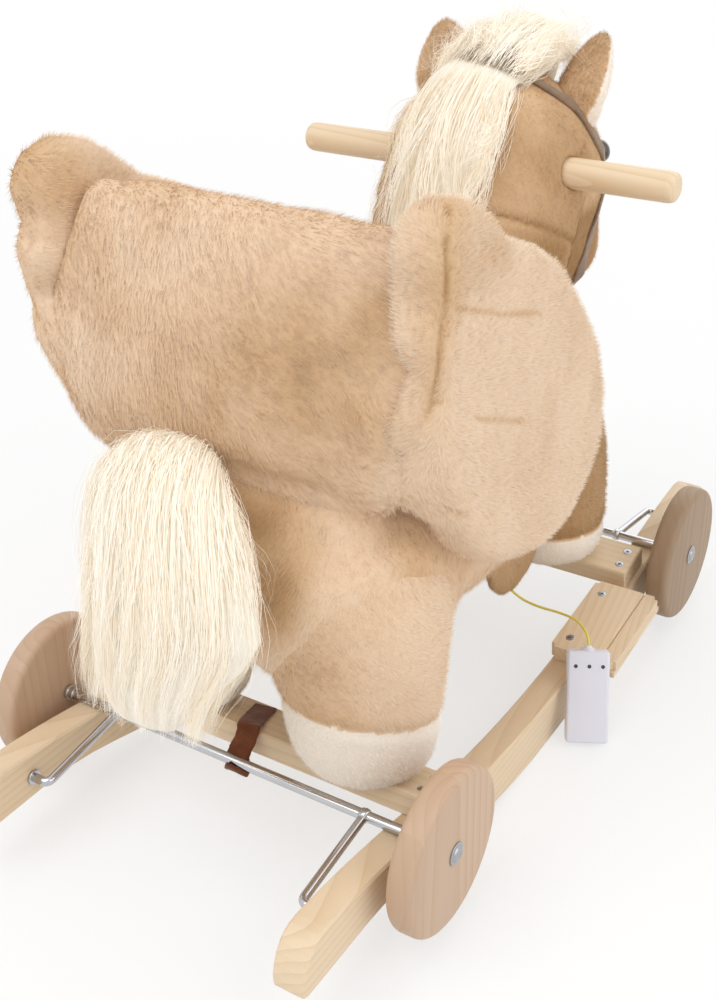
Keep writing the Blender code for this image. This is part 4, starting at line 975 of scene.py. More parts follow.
class HORSE_OT_wood(bpy.types.Operator):
    """Rockers, crossbars, footrests, grip dowel and wheels"""

    bl_idname = "horse.wood"
    bl_label = "Wooden pieces"

    def execute(self, context):
        c = looks()
        for side, s in SIDES:
            boards = (("rocker", "rocker_pine", 1.0, (s * 0.18, 0.0, -0.045 - 0.01 * s), 0.0060),
                      ("footrest_board", "footrest_pine", 1.03, (s * 0.10, 0.0, 0.02), 0.0052),
                      ("footrest_strip", "strip_pine", 1.0, (s * 0.21, 0.0, 0.10), 0.0034))
            for node, name, factor, pith, spread in boards:
                paint(f"{node}_{side}", pine(f"{name}_{side}", toned(c.pine, factor), 1, pith, spread))
        for end, e in ENDS:
            bar = pine(f"crossbar_pine_{end}", toned(c.pine, 1.02), 0, (0.0, e * 0.150, 0.02), 0.0048)
            paint(f"crossbar_{end}", bar)
            for side, s in SIDES:
                paint(f"leg_post_{end}_{side}", MATS["post"])
        paint("neck_post", MATS["post"])
        self.grip()
        self.wheels()
        return {"FINISHED"}

    def grip(self):
        low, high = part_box("grip_dowel")
        half, radius = (high[0] - low[0]) / 2, (high[2] - low[2]) / 2
        centre = middle("grip_dowel")
        right = [(0.0, half), (radius * 0.60, half), (radius * 0.90, half - 0.0020), (radius, half - 0.0062)]
        left = [(r, -x) for r, x in right]
        grip = spun("grip_dowel_turned", rounded(left + right[::-1], 0.003), 56)
        settled(grip, "grip_dowel_turned", along_x(*centre))
        pith = (0.0, centre.y - 0.016, centre.z + 0.004)
        mat = pine("grip_pine", toned(looks().pine, 1.04), 0, pith, 0.0044, 0.36)
        wear(grip, mat, replaces=["grip_dowel"])

    def wheels(self):
        c = looks()
        for end, e in ENDS:
            for side, s in SIDES:
                node = f"wheel_{end}_{side}"
                low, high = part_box(node)
                centre = middle(node)
                radius, half = (high[2] - low[2]) / 2, (high[0] - low[0]) / 2
                corners = [(WHEEL_BORE, -half), (radius, -half), (radius, half), (WHEEL_BORE, half)]
                outline = rounded(corners, sizes().wheel_round, 7)
                wheel = spun(f"{node}_turned", outline + [outline[0]], 96)
                settled(wheel, f"{node}_turned", along_x(*centre))
                pith = (centre.x + 0.018 * s, centre.y + 0.012 * e, 0.0)
                # Front wheels: browner wood darkened with painted shade.
                wood = c.wheel_wood if end == "rear" else FRONT_WHEEL_WOOD_AND_SHADE
                mat = pine(f"{node}_wood", wood, 2, pith, 0.0085, staves=STAVE)
                wear(wheel, mat, body=node, replaces=[node], smooth=50)


ROD_RADIUS = 0.0040
ARM_RADIUS = 0.0035
ARM_X = 0.112
ROCKER_INNER_X = 0.127
PIVOT_Y = 0.3033
PIVOT_Z = 0.0606
PIVOT_REACH = 0.0118
WASHER = 0.0022
KNEE_GAP = 0.007
KNEE_BEND = 0.0055
SEAT_GAP = 0.0003
HALF_WHEEL = 0.010
WELD = [(0, -0.0050), (0.0030, -0.0046), (0.0049, -0.0026), (0.0054, 0.0), (0.0049, 0.0026), (0.0030, 0.0046),
        (0, 0.0050)]
SCREW = [(0, -0.033), (0.0009, -0.032), (0.0019, -0.029), (0.0019, -0.0026), (0.0039, -0.0002), (0.0036, 0.0),
         (0, 0.0002)]
SCREW_LENGTH = 0.0332
SLOT = (0.0040, 0.0009, 0.0026)


class HORSE_OT_metal(bpy.types.Operator):
    """Wheel frames, hub caps, screws and leg bolts"""

    bl_idname = "horse.metal"
    bl_label = "Metal pieces"

    def execute(self, context):
        for end, e in ENDS:
            self.rod(end, e)
            for side, s in SIDES:
                self.hub(end, side, s)
                paint(f"leg_bolt_{end}_{side}", MATS["zinc"])
        self.screws()
        return {"FINISHED"}

    def rod(self, end, e):
        node = f"axle_frame_{end}"
        axle = middle(f"wheel_{end}_left")
        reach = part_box(node)[1][0]
        pivot = Vector((0.0, e * PIVOT_Y, PIVOT_Z))
        bar = [(0, -reach), (ROD_RADIUS, -reach), (ROD_RADIUS, reach), (0, reach)]
        parts = [settled(spun("bar", rounded(bar, 0.0006), 40), "bar", along_x(0, axle.y, axle.z))]
        for side, s in SIDES:
            root = Vector((s * ARM_X, axle.y, axle.z))
            knee = Vector((s * (ROCKER_INNER_X - WASHER - KNEE_BEND - KNEE_GAP), pivot.y, pivot.z))
            toward = (root - knee).normalized()
            line = [root.lerp(knee, t) for t in (0.0, 0.25, 0.5, 0.7)]
            start, stop = knee + toward * KNEE_BEND, knee + Vector((s * KNEE_BEND, 0, 0))
            for t in (k / 10 for k in range(11)):
                line.append(start * (1 - t) ** 2 + knee * 2 * t * (1 - t) + stop * t ** 2)
            line.append(Vector((s * (ROCKER_INNER_X + PIVOT_REACH), pivot.y, pivot.z)))
            parts.append(tube("arm", line, ARM_RADIUS))
            parts.append(settled(spun("weld", WELD, 24), "weld", along_x(s * ARM_X, axle.y, axle.z)))
            flip = Matrix.Diagonal((1, 1, s, 1))
            face = ROCKER_INNER_X - SEAT_GAP
            ring = [(0, face - WASHER), (0.006, face - WASHER), (0.006, face), (0, face)]
            ring = spun("washer", rounded(ring, 0.0007), 32)
            parts.append(settled(ring, "washer", along_x(0, pivot.y, pivot.z) @ flip))
            face = abs(middle(f"wheel_{end}_{side}").x) - HALF_WHEEL - SEAT_GAP
            collar = [(0, face - 0.008), (0.0052, face - 0.008), (0.0052, face - 0.0032),
                      (0.006, face - 0.0030), (0.006, face), (0, face)]
            collar = spun("collar", rounded(collar, 0.0006), 32)
            parts.append(settled(collar, "collar", along_x(0, axle.y, axle.z) @ flip))
        made = closed(joined(f"wheel_rod_{end}", parts), gap=0)
        wear(made, MATS["chrome"], body=f"{end}_axle", replaces=[node], smooth=40)

    def hub(self, end, side, s):
        node = f"hub_cap_{end}_{side}"
        low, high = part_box(node)
        base, tip = sorted((abs(low[0]), abs(high[0])))
        centre = middle(node)
        tall = tip - base
        shape = [(0.0, 0.0), (0.0085, 0.0), (0.0085, 0.0006), (0.0074, 0.0010), (0.0066, 0.0010),
                 (0.0060, 0.0016), (0.0052, tall * 0.88), (0.0040, tall), (0.0030, tall * 0.93),
                 (0.0016, tall * 0.80), (0.0, tall * 0.78)]
        cap = spun(f"{node}_pressed", rounded(shape, 0.0004, 3), 40)
        settled(cap, f"{node}_pressed", along_x(s * base, centre.y, centre.z, s))
        wear(cap, MATS["zinc"], body=f"{end}_axle", replaces=[node], smooth=45)

    def screws(self):
        head = spun("screw", rounded(SCREW, 0.0002, 2), 24)
        wide, narrow, deep = SLOT
        for name, cut_size in (("blade", (wide, narrow, deep)), ("cross", (narrow, wide, deep))):
            deselect()
            bpy.ops.mesh.primitive_cube_add(size=1.0, location=(0, 0, 0))
            cut = settled(bpy.context.object, name, Matrix.Diagonal((*cut_size, 1)))
            apply(head, "BOOLEAN", object=cut, operation="DIFFERENCE", solver="EXACT")
            bpy.data.objects.remove(cut)
        for node in sorted(NODES):
            if not node.startswith("screw_"):
                continue
            co = verts_of(NODES[node])
            mean = co.mean(0)
            axis = np.linalg.svd(co - mean, full_matrices=False)[2][0]
            axis = axis if axis[2] > 0 else -axis
            along = (co - mean) @ axis
            top = Vector(mean + axis * along.max())
            spin = Matrix.Rotation(sum(map(ord, node)) * 0.7, 4, "Z")
            place = Matrix.Translation(top) @ Vector(axis).to_track_quat("Z", "Y").to_matrix().to_4x4() @ spin
            size = (along.max() - along.min()) / SCREW_LENGTH
            name = f"{node}_crosshead"
            screw = settled(linked(name, head.data.copy()), name, place @ Matrix.Diagonal((1, 1, size, 1)))
            wear(screw, MATS["zinc"], replaces=[node], smooth=30)
        bpy.data.objects.remove(head)


EAR_FOOT = (0.054, -0.186, 0.462)
EAR_TIP = (0.078, -0.210, 0.528)
EAR_TURN = 24
FACE_HOLLOWS = (((0.066, -0.232, 0.425), (0.0, -0.180, 0.40), 0.035, 0.016),
                ((0.020, -0.297, 0.318), (0.0, -0.26, 0.34), 0.07, 0.006))


class HORSE_OT_plush(bpy.types.Operator):
    """Torso, legs, seat back, wings, head, ears and belly flap, with their pile"""

    bl_idname = "horse.plush"
    bl_label = "Plush pieces"

    def execute(self, context):
        forms = {}

        def stuff(key, *settings, **more):
            forms[key] = stuffed(key, f"{key}_plush", *settings, **more)

        right = [WING_EDGE] + WING_DARTS
        wing_seams = {"right": right, "left": mirror(right) + [WING_WAIST]}
        stuff("torso", 0.0042, 22, 0.0004, seed=3, shape=self.rump_form)
        stuff("seat_back", 0.0042, 24, 0.0006, 0.0022, [BACK_SEAM], 0.0040, 0.0050, seed=5,
              shape=self.back_form)
        for side, s in SIDES:
            stuff(f"wing_{side}", 0.0034, 18, 0.0012, 0.0014, wing_seams[side], 0.0026, 0.0026, seed=7 + s,
                  shape=self.wing_form(s))
            stuff(f"ear_{side}", 0.0022, 6, 0.0004, 0.0003, seed=17 + s, shape=self.ear_form(s))
            for end, e in ENDS:
                stuff(f"leg_{end}_{side}", 0.0038, 18, 0.0006, 0.0010, [cuff_seam(end)], 0.0022, 0.0040,
                      seed=21 + s + 3 * e)
        stuff("head", 0.0036, 14, 0.0004, 0.0008, [neck_seam], 0.0018, 0.0026, seed=31, shape=self.face)
        stuff("belly_flap", 0.0025, 8, 0.0002, 0.0008, seed=37)
        trees = {key: tree_of(obj) for key, obj in forms.items()}
        legs = [key for key in forms if key.startswith("leg")]
        wings = ["wing_left", "wing_right"]
        ease(forms["torso"], [trees[key] for key in legs + wings + ["seat_back", "head"]], 0.0115, 0.019)
        ease(forms["seat_back"], [trees[key] for key in wings + ["torso"]], 0.0085, 0.015)
        for key in legs:
            ease(forms[key], [trees["torso"]], 0.0065, 0.012)
        for key in wings:
            ease(forms[key], [trees["torso"], trees["seat_back"]], 0.0035, 0.010)
        trees = {key: tree_of(obj) for key, obj in forms.items()}
        for key, obj in forms.items():
            self.dress(key, obj, trees)
        return {"FINISHED"}

    def rump_form(self, co):
        """The stuffing swells up into the corner between the seat back and the left wing."""
        away = from_place(co, (0.112, 0.178, 0.292))
        return co + np.array((0.3, 0.1, 1.0)) * (0.019 * hump(away, 0.022))[:, None]

    def back_form(self, co):
        """The rear of the seat back rounds in towards the rump at its bottom seam."""
        low = part_of(0.352 - co[:, 2], 0.045) ** 1.5
        co[:, 1] -= 0.016 * low * (co[:, 1] > 0.20)
        co[:, 2] -= 0.004 * low
        inside = part_of(0.380 - co[:, 2], 0.02) * part_of(0.210 - co[:, 1], 0.02)
        co[:, 2] -= 0.014 * inside
        corner = part_of(co[:, 0] - 0.075, 0.02) * part_of(0.372 - co[:, 2], 0.03)
        co[:, 2] -= 0.016 * corner
        s = np.sign(co[:, 0])
        edge = part_of(np.abs(co[:, 0]) - 0.060, 0.045) ** 1.5 * part_of(0.445 - co[:, 2], 0.05)
        co[:, 0] += s * 0.026 * edge
        co[:, 1] -= 0.014 * edge * part_of(co[:, 1] - 0.19, 0.02)
        return co

    def wing_form(self, s):
        """The rolled rear rim has a notch at its waist and a lobe at its foot."""
        heights = (0.28, 0.305, 0.322, 0.345, 0.372, 0.392, 0.408, 0.425, 0.45)
        shifts = (0.0, 0.020, 0.034, 0.020, 0.009, 0.0, -0.015, -0.004, 0.0)

        def form(co):
            inner = part_of(0.160 - np.abs(co[:, 0]), 0.026) * part_of(co[:, 1] - 0.165, 0.025)
            shift = np.interp(co[:, 2], heights, shifts) * inner
            co[:, 0] -= s * shift
            co[:, 1] += 0.35 * shift * (shift > 0)
            return co
        return form

    def ear_front(self, s):
        """Root, axis, height and the way that the lining faces, turned out a little from the CAD ear's."""
        foot, tip = np.array(EAR_FOOT) * (s, 1, 1), np.array(EAR_TIP) * (s, 1, 1)
        high = np.linalg.norm(tip - foot)
        axis = (tip - foot) / high
        flat = np.array((0.02 * s, -0.94, -0.34))
        return foot, axis, high, self.turned(flat[None], axis, s)[0]

    def turned(self, off, axis, s):
        angle = s * math.radians(EAR_TURN)
        return off * math.cos(angle) + np.cross(axis[None], off) * math.sin(angle)

    def ear_form(self, s):
        """An ear narrows towards its tip and has a hollow in front."""
        foot, axis, size, front = self.ear_front(s)

        def form(co):
            rise = (co - foot) @ axis
            high = np.clip(rise / size, 0, 1.1)
            core = foot + rise[:, None] * axis
            lower = -0.10 * np.clip(rise, 0, 1)[:, None] * axis
            off = (co - core) * (1.12 - 0.36 * high ** 1.5)[:, None]
            off = off + (self.turned(off, axis, s) - off) * np.clip(high * 3, 0, 1)[:, None]
            inner = part_of(unit(off) @ front - 0.2, 0.8)
            hollow = 0.006 * inner * np.sin(np.clip(high, 0, 1) * math.pi)
            return core + lower + off - front * hollow[:, None]
        return form

    def face(self, co):
        """Eye hollows and nostrils on the head."""
        for s in (-1, 1):
            for place, toward, deep, width in FACE_HOLLOWS:
                away = from_place(co, np.array(place) * (s, 1, 1))
                co += (np.array(toward) - co) * (deep * hump(away, width))[:, None]
        return co

    def dress(self, key, obj, trees):
        """Gives a soft form its skin and its pile."""
        near = [tree for other, tree in trees.items() if other != key]
        side = -1 if key.endswith("right") else 1
        kind, end = (key.split("_") + [""])[:2]
        body, seams, more = sizes().body_pile, (), {}
        if kind == "torso":
            tone, flow, count, length = self.torso_tone, fixed(0.0, 0.45, -1.0), 42000, body
        elif kind == "seat":
            tone, flow, count, length = self.back_tone, self.back_flow, 49000, body
            seams = [BACK_SEAM]
        elif kind == "wing":
            seams = [WING_EDGE] + WING_DARTS
            seams = seams if side < 0 else mirror(seams)
            tone, flow = with_seams(self.wing_tone(side), seams, 0.40), self.wing_flow(side)
            count, length, more = 49000 if side < 0 else 36000, body, {"swirl": 0.7}
        elif kind == "head":
            seams = [neck_seam]
            tone, flow = with_seams(self.head_tone, seams, 0.30), self.head_flow
            count, length, more = 39000, sizes().head_pile, {"fine": 0.80}
        elif kind == "ear":
            tone, flow = self.ear_tone(side), self.ear_flow(side)
            count, length, more = 6500, 0.0052, {"fine": 0.75, "lean": 62.0}
        elif kind == "leg":
            seams = [cuff_seam(end)]
            tone, flow = self.leg_tone(end), self.leg_flow(end, side)
            count, length = 21500 if end == "rear" else 12500, body * 0.85
        else:
            tone, flow = even_tone(0.14, 41, 0.15), fixed(0, 0.2, -1.0)
            count, length, more = 4000, 0.0042, {"fine": 0.8}
        stain(obj, tone)
        wear(obj, MATS["skin"], replaces=[key], smooth=0)
        0.85 if key != "belly_flap" else 0.3
        grow_pile(obj, f"{key}_pile", count, length, flow, tone, near, seed=sum(map(ord, key)), seams=seams,
                  **more)

    def torso_tone(self, points, normals):
        """The chest is darker than the back, with painted shade that runs on from the shaded front legs, and
        two deep patches beside the tail on its right are the tail's painted shadow.
        """
        _, y, z = points.T
        tone = patched(even_tone(0.66, 3, 0.26)(points, normals), points, TORSO_PATCHES_AND_TAIL_SHADOW, (1.0, 0.6, 0.8), 73)
        # Painted shade: the chest darkens between the front legs.
        return pelt(tone - 0.42 * part_of(-y - 0.085, 0.06) * part_of(0.345 - z, 0.05))

    def back_tone(self, points, normals):
        """Brushed patches, deepest on the right, a paler top that is painted light, and a dark line of
        painted shade along the bottom seam.
        """
        # Painted light: the top of the seat back is paler.
        tone = even_tone(0.64, 9, 0.18)(points, normals) + 0.10 * part_of(points[:, 2] - 0.44, 0.03)
        tone = patched(tone, points, BACK_PATCHES, (1.0, 0.4, 1.0), 71)
        return with_seams(lambda p, n: pelt(tone), [BACK_SEAM], 0.25)(points, normals)

    def wing_tone(self, side):
        """The rolled rim is darker, most of all on the left wing's top."""
        plain = even_tone(0.68, 7 + side, 0.18)
        edge = [WING_EDGE] if side < 0 else mirror([WING_EDGE])
        place, stretch, deep = (((-0.160, 0.180, 0.462), (1.0, 0.6, 1.6), 0.16) if side < 0 else
                                ((0.125, 0.205, 0.475), (0.7, 1.0, 1.0), 0.34))

        def tone(points, normals):
            rim = hump(to_lines(points, edge), 0.012) * part_of(points[:, 2] - 0.36, 0.05)
            return pelt(plain(points, normals) - 0.20 * rim
                        - deep * hump(from_place(points, place, stretch), 0.030))
        return tone

    def back_flow(self, points, normals):
        x, _, z = points.T
        right = part_of(0.03 - x, 0.10)
        return ways(-0.25 - 1.1 * right * part_of(z - 0.33, 0.10), 0.2, -0.9 + 0.5 * right)

    def wing_flow(self, side):
        def flow(points, normals):
            _, y, z = points.T
            back = part_of(y - 0.198, 0.014)
            return ways(-side * 0.9 * back, -1.0 + back * 0.9, -0.35 + 0.5 * (z - 0.34) / 0.15)
        return flow

    def head_tone(self, points, normals):
        """A pale muzzle, dark nostrils and mouth, and a chin darkened with painted shade under the jaw."""
        _, y, z = points.T
        tone = even_tone(0.19, 13, 0.30)(points, normals)
        for s in (-1, 1):
            tone = tone - 0.5 * hump(from_place(points, (s * 0.020, -0.299, 0.320)), 0.006)
        muzzle = part_of(-y - 0.262, 0.02)
        # Painted shade under the jaw and chin.
        painted_chin_shade = part_of(0.405 - z, 0.04) * part_of(-y - 0.13, 0.05)
        mouth = hump(z - 0.298, 0.0022) * part_of(-y - 0.268, 0.01)
        tone = tone + 0.22 * muzzle - 0.40 * painted_chin_shade * (1 - muzzle) - 0.45 * mouth
        return pelt(tone - 0.12 * hump(from_place(points, (-0.070, -0.150, 0.440)), 0.030))

    def head_flow(self, points, normals):
        front = part_of(-points[:, 1] - 0.17, 0.06)
        return ways(0.0, 0.25 - 0.6 * front, -1.0 + 0.25 * front)

    def ear_tone(self, side):
        plain = even_tone(0.30, 15, 0.16)

        def tone(points, normals):
            axis, front = self.ear_front(side)[1::2]
            outer = np.cross(axis, front)
            outer = outer * np.sign(outer[0] * side)
            lining = normals @ (front * 0.55 + outer * 0.85)
            return np.where(lining > 0.26, CREAM + 0.06, plain(points, normals))
        return tone

    def ear_flow(self, side):
        foot, axis, _, front = self.ear_front(side)

        def flow(points, normals):
            core = foot + ((points - foot) @ axis)[:, None] * axis
            out = unit(points - core)
            lining = np.clip(normals @ front, 0, 1)[:, None]
            return axis * (1 - 0.4 * lining) + out * 0.9 * lining
        return flow

    def leg_tone(self, end):
        """Brown down to the cuff, a little darker beside it, and cream below. The front legs' deeper brown is
        painted shade under the wings.
        """
        # Front legs: painted shade under the wings, as a deeper base tone.
        plain = even_tone(0.63 if end == "rear" else 0.18, 19, 0.26)

        def tone(points, normals):
            above = points[:, 2] - cuff_height(end, points)
            return np.where(above < 0, CREAM + 0.06, pelt(plain(points, normals) - 0.10 * hump(above, 0.012)))
        return tone

    def leg_flow(self, end, side):
        """The pile goes round the leg on its way down."""
        middle_x, middle_y = (0.082, 0.178) if end == "rear" else (0.066, -0.166)

        def flow(points, normals):
            x, y, _ = points.T
            return ways((y - middle_y) * -12.0 * -side, (x - side * middle_x) * 12.0 * -side, -0.7)
        return flow


STRAND_STEPS = 9


def path_at(path, values, t):
    """Catmull-Rom places on a path, and the same blend of a list of values, at shares t."""
    path, values = np.array(path, float), np.array(values, float)
    last = len(path) - 1
    x = np.clip(t, 0, 1) * last
    i = np.minimum(np.floor(x).astype(int), last - 1)
    f = (x - i)[..., None]
    out = []
    for data in (path, values):
        p0, p1 = data[np.maximum(i - 1, 0)], data[i]
        p2, p3 = data[i + 1], data[np.minimum(i + 2, last)]
        out.append(0.5 * (2 * p1 + (p2 - p0) * f + (2 * p0 - 5 * p1 + 4 * p2 - p3) * f ** 2
                          + (3 * p1 - p0 - 3 * p2 + p3) * f ** 3))
    return out


def strands(name, lines, outs, radius, tones):
    """Tapered three-sided strands along (count, steps, 3) lines, flat side out, closed at both ends."""
    count, steps = lines.shape[:2]
    ahead = unit(np.gradient(lines, axis=1))
    side = unit(np.cross(ahead, outs))
    s = np.linspace(0, 1, steps)
    taper = np.minimum(1.0, 0.5 + s * 5) * (1 - 0.93 * s ** 2.2)
    side = side * (radius[:, None] * taper[None])[..., None]
    co = np.stack([lines + side, lines + np.cross(ahead, side) * 0.7, lines - side], 2)
    faces, us, vs = [], [], []
    half = HALF_COLUMN
    for j in range(steps - 1):
        for k in range(3):
            n = (k + 1) % 3
            a, b, c, d = j * 3 + k, j * 3 + n, (j + 1) * 3 + n, (j + 1) * 3 + k
            faces += [[a, b, c], [a, c, d]]
            us += [-half, half, half, -half, half, -half]
            vs += [s[j], s[j], s[j + 1], s[j], s[j + 1], s[j + 1]]
    end = (steps - 1) * 3
    faces += [[2, 1, 0], [end, end + 1, end + 2]]
    us += [-half, half, 0, -half, half, 0]
    vs += [0, 0, 0.02, 0.98, 0.98, 1.0]
    faces = np.array(faces)[None] + np.arange(count)[:, None, None] * steps * 3
    u = column(tones)[:, None] + np.array(us)[None]
    v = np.clip(np.array(vs), 0.01, 0.99)[None].repeat(count, 0)
    return hair_mesh(name, co, faces, u, v)


TAIL_PATH = [(0.004, 0.236, 0.318), (0.000, 0.258, 0.334), (-0.008, 0.278, 0.331), (-0.015, 0.291, 0.305),
             (-0.0180, 0.297, 0.272), (-0.015, 0.300, 0.238), (0.000, 0.301, 0.200), (0.011, 0.300, 0.160)]
TAIL_SIZES = [(0.024, 0.012), (0.034, 0.018), (0.046, 0.023), (0.056, 0.025), (0.0605, 0.026),
              (0.0610, 0.025), (0.053, 0.021), (0.049, 0.014)]
MANE_PATH = [(-0.004, -0.246, 0.470), (-0.006, -0.228, 0.498), (-0.006, -0.200, 0.512),
             (0.000, -0.164, 0.504), (0.004, -0.132, 0.487), (0.006, -0.104, 0.459),
             (0.006, -0.084, 0.418), (0.006, -0.068, 0.378), (0.006, -0.056, 0.345)]
MANE_SIZES = [(0.012, 0.006), (0.024, 0.013), (0.033, 0.018), (0.035, 0.019), (0.036, 0.021), (0.037, 0.022),
              (0.035, 0.021), (0.031, 0.017), (0.020, 0.010)]


def brush(path, wide_high, count, start, stop, rng, bunches=60, fan=0.10, wave=0.0015, spread=0.20,
          arc=(0.0, 2 * math.pi), reach=(0.72, 1.03), ragged=0.14):
    """Hair that lies round a flat bunch in locks with pointed ends: its lines, outward ways and tones."""
    bunch = rng.integers(0, bunches, count)
    bunch_turn = rng.uniform(arc[0], arc[1], bunches)
    bunch_reach = rng.uniform(reach[0], reach[1], bunches)
    t0 = rng.uniform(*start, count)
    t1 = rng.uniform(*stop, bunches)[bunch] + (rng.random(count) - 0.5) * ragged
    s = np.linspace(0, 1, STRAND_STEPS)[None]
    t = t0[:, None] + (t1 - t0)[:, None] * s
    centre, size = path_at(path, wide_high, t)
    behind = path_at(path, wide_high, np.clip(t - 0.02, 0, 1))[0]
    ahead = unit(path_at(path, wide_high, np.clip(t + 0.02, 0, 1))[0] - behind)
    across = np.array((1.0, 0.0, 0.0))
    out = unit(np.cross(across, ahead))
    loose = rng.normal(size=(count, 2))[:, None] * (1 - 0.72 * s[..., None] ** 1.5)
    angle = bunch_turn[bunch][:, None] + rng.normal(size=bunches)[bunch][:, None] * 0.30 * s
    angle = angle + loose[..., 0] * spread
    swell = (bunch_reach[bunch][:, None] + loose[..., 1] * 0.06) * (0.93 + 0.07 * np.minimum(1, s * 4))
    swell = swell * (1 + fan * s ** 2)
    over = np.maximum(t - 1, 0)
    wide = size[..., :1] * (swell * np.cos(angle))[..., None]
    high = size[..., 1:] * (swell * np.sin(angle))[..., None]
    lines = centre + across * wide + out * high + ahead * over[..., None] * 0.16
    phase = rng.uniform(0, 6.28, (bunches, 3))[bunch][:, None] + rng.normal(size=(count, 1, 3)) * 0.35
    rate = rng.uniform(4, 10, (bunches, 3))[bunch][:, None]
    ripple = np.sin(phase + rate * s[..., None]) * wave * (0.3 + 1.3 * s[..., None])
    outs = across * (size[..., 1:] * np.cos(angle)[..., None])
    outs = outs + out * (size[..., :1] * np.sin(angle)[..., None])
    tones = rng.normal(0.54, 0.15, bunches)[bunch] + rng.normal(size=count) * 0.07
    return lines + ripple + rng.normal(size=(count, 1, 3)) * 0.0007, outs, tones


HAIR_LOWEST = 0.147


class HORSE_OT_hair(bpy.types.Operator):
    """Mane with its forelock, and tail"""

    bl_idname = "horse.hair"
    bl_label = "Mane and tail"

    def execute(self, context):
        size = sizes()
        rng = np.random.default_rng(77)
        few = 1.0
        tail, mane = (TAIL_PATH, TAIL_SIZES), (MANE_PATH, MANE_SIZES)
        self.core("tail", 0.0036, TAIL_PATH, self.tail_fit)
        count = int(size.tail_strands * few)
        inner = brush(*tail, int(count * 0.40), (0.0, 0.45), (0.84, 1.05), rng, 90, reach=(0.84, 0.98),
                      spread=0.12)
        outer = brush(*tail, int(count * 0.50), (0.0, 0.30), (0.78, 1.05), rng, 70, 0.0, 0.0020, 0.12,
                      reach=(0.90, 1.03), ragged=0.10)
        stray = brush(*tail, int(count * 0.10), (0.0, 0.20), (0.62, 1.03), rng, 120, 0.06, 0.0045, 0.22,
                      reach=(0.98, 1.10), ragged=0.25)
        self.grow("tail_hair_inner", [inner], size.strand_radius, rng)
        self.grow("tail_hair_outer", [outer, stray], size.strand_radius * 0.9, rng)
        self.core("mane", 0.0030, MANE_PATH, self.mane_fit)
        count = int(size.mane_strands * few)
        top = (-0.35, math.pi + 0.35)
        fall = brush(*mane, int(count * 0.50), (0.475, 0.62), (0.86, 1.08), rng, 60, 0.05, 0.0026, 0.12, top,
                     reach=(0.92, 1.06))
        locks = brush(*mane, int(count * 0.16), (0.49, 0.60), (0.66, 0.96), rng, 26, 0.34, 0.0060, 0.10, top,
                      reach=(1.00, 1.24), ragged=0.10)
        self.grow("mane_hair", [fall, locks], size.strand_radius, rng)
        back = MANE_PATH[::-1], MANE_SIZES[::-1]
        below = (-math.pi - 0.35, 0.35)
        front = brush(*back, int(count * 0.24), (0.51, 0.70), (0.84, 1.02), rng, 30, 0.16, 0.0050, 0.12,
                      below, reach=(0.90, 1.12))
        curls = brush(*back, int(count * 0.10), (0.52, 0.62), (0.68, 0.96), rng, 26, 0.30, 0.0085, 0.12,
                      below, reach=(1.02, 1.24), ragged=0.2)
        self.grow("forelock_hair", [front, curls], size.strand_radius * 0.9, rng)
        return {"FINISHED"}

    def core(self, node, voxel, path, fit):
        """The body under the strands, combed along its path."""
        obj = stuffed(node, f"{node}_core", voxel, 10, -0.0022, 0.0014, seed=51, shape=fit)
        t = np.linspace(0, 1, 160)
        line = path_at(path, [(0.0,)] * len(path), t)[0]
        co = verts_of(obj)
        near = np.linalg.norm(co[:, None] - line[None], axis=2).argmin(1)
        off = co - line[near]
        comb = np.stack([off[:, 0], np.linalg.norm(off[:, 1:], axis=1), t[near] * 0.016], 1)
        obj.data.attributes.new("comb", "FLOAT_VECTOR", "POINT").data.foreach_set("vector", comb.ravel())
        wear(obj, MATS["core"], replaces=[node], smooth=0)

    def tail_fit(self, co):
        low = part_of(0.250 - co[:, 2], 0.06)
        co[:, 0] = -0.018 + (co[:, 0] + 0.018) * (1 - 0.16 * low) + 0.020 * low
        return co

    def mane_fit(self, co):
        low = part_of(0.495 - co[:, 2], 0.05) * (co[:, 1] > -0.15)
        co[:, 0] = 0.006 + (co[:, 0] - 0.006) * (1 - 0.18 * low) - 0.006 * low
        return co

    def grow(self, name, groups, radius, rng):
        lines, outs, tones = (np.concatenate([group[k] for group in groups]) for k in range(3))
        lines[..., 2] = np.maximum(lines[..., 2], HAIR_LOWEST)
        widths = radius * rng.uniform(0.6, 1.25, len(lines))
        obj = strands(name, lines, outs, widths, np.clip(tones, 0.04, 0.98))
        obj.data.materials.append(MATS["hair"])
        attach(obj, ROOT)


EYE_RADIUS = 0.0092
EYE_PLACE = (0.0655, -0.2335, 0.4255)
EYE_WAY = (0.78, -0.55, 0.28)


class HORSE_OT_tack(bpy.types.Operator):
    """Bridle, eyes and the suede strap on the rear rod"""

    bl_idname = "horse.tack"
    bl_label = "Bridle, eyes and strap"

    def execute(self, context):
        band = softened("bridle", "bridle_band", 0.0012, 6)
        move(band, verts_of(band) + normals_of(band) * 0.0006)
        wear(band, MATS["bridle"], replaces=["bridle"], smooth=0)
        for side, s in SIDES:
            deselect()
            bpy.ops.mesh.primitive_uv_sphere_add(segments=40, ring_count=24, radius=EYE_RADIUS,
                                                 location=(0, 0, 0))
            out = Vector((s * EYE_WAY[0], *EYE_WAY[1:])).normalized()
            place = Matrix.Translation((s * EYE_PLACE[0], *EYE_PLACE[1:]))
            turn = out.to_track_quat("Z", "Y").to_matrix().to_4x4() @ Matrix.Diagonal((1.0, 1.0, 0.72, 1.0))
            eye = settled(bpy.context.object, f"eye_{side}_glass", place @ turn)
            wear(eye, MATS["eye"], replaces=[f"eye_{side}"], smooth=60)
        self.strap()
        return {"FINISHED"}

    def strap(self):
        strap = softened("strap", "strap_suede", 0.0010, 5)
        co = verts_of(strap)
        push = 0.0002 + 0.0012 * (patches(co, 0.009, 61) - 0.5)
        move(strap, co + normals_of(strap) * push[:, None])
        wear(strap, MATS["strap"], replaces=["strap"], smooth=0)


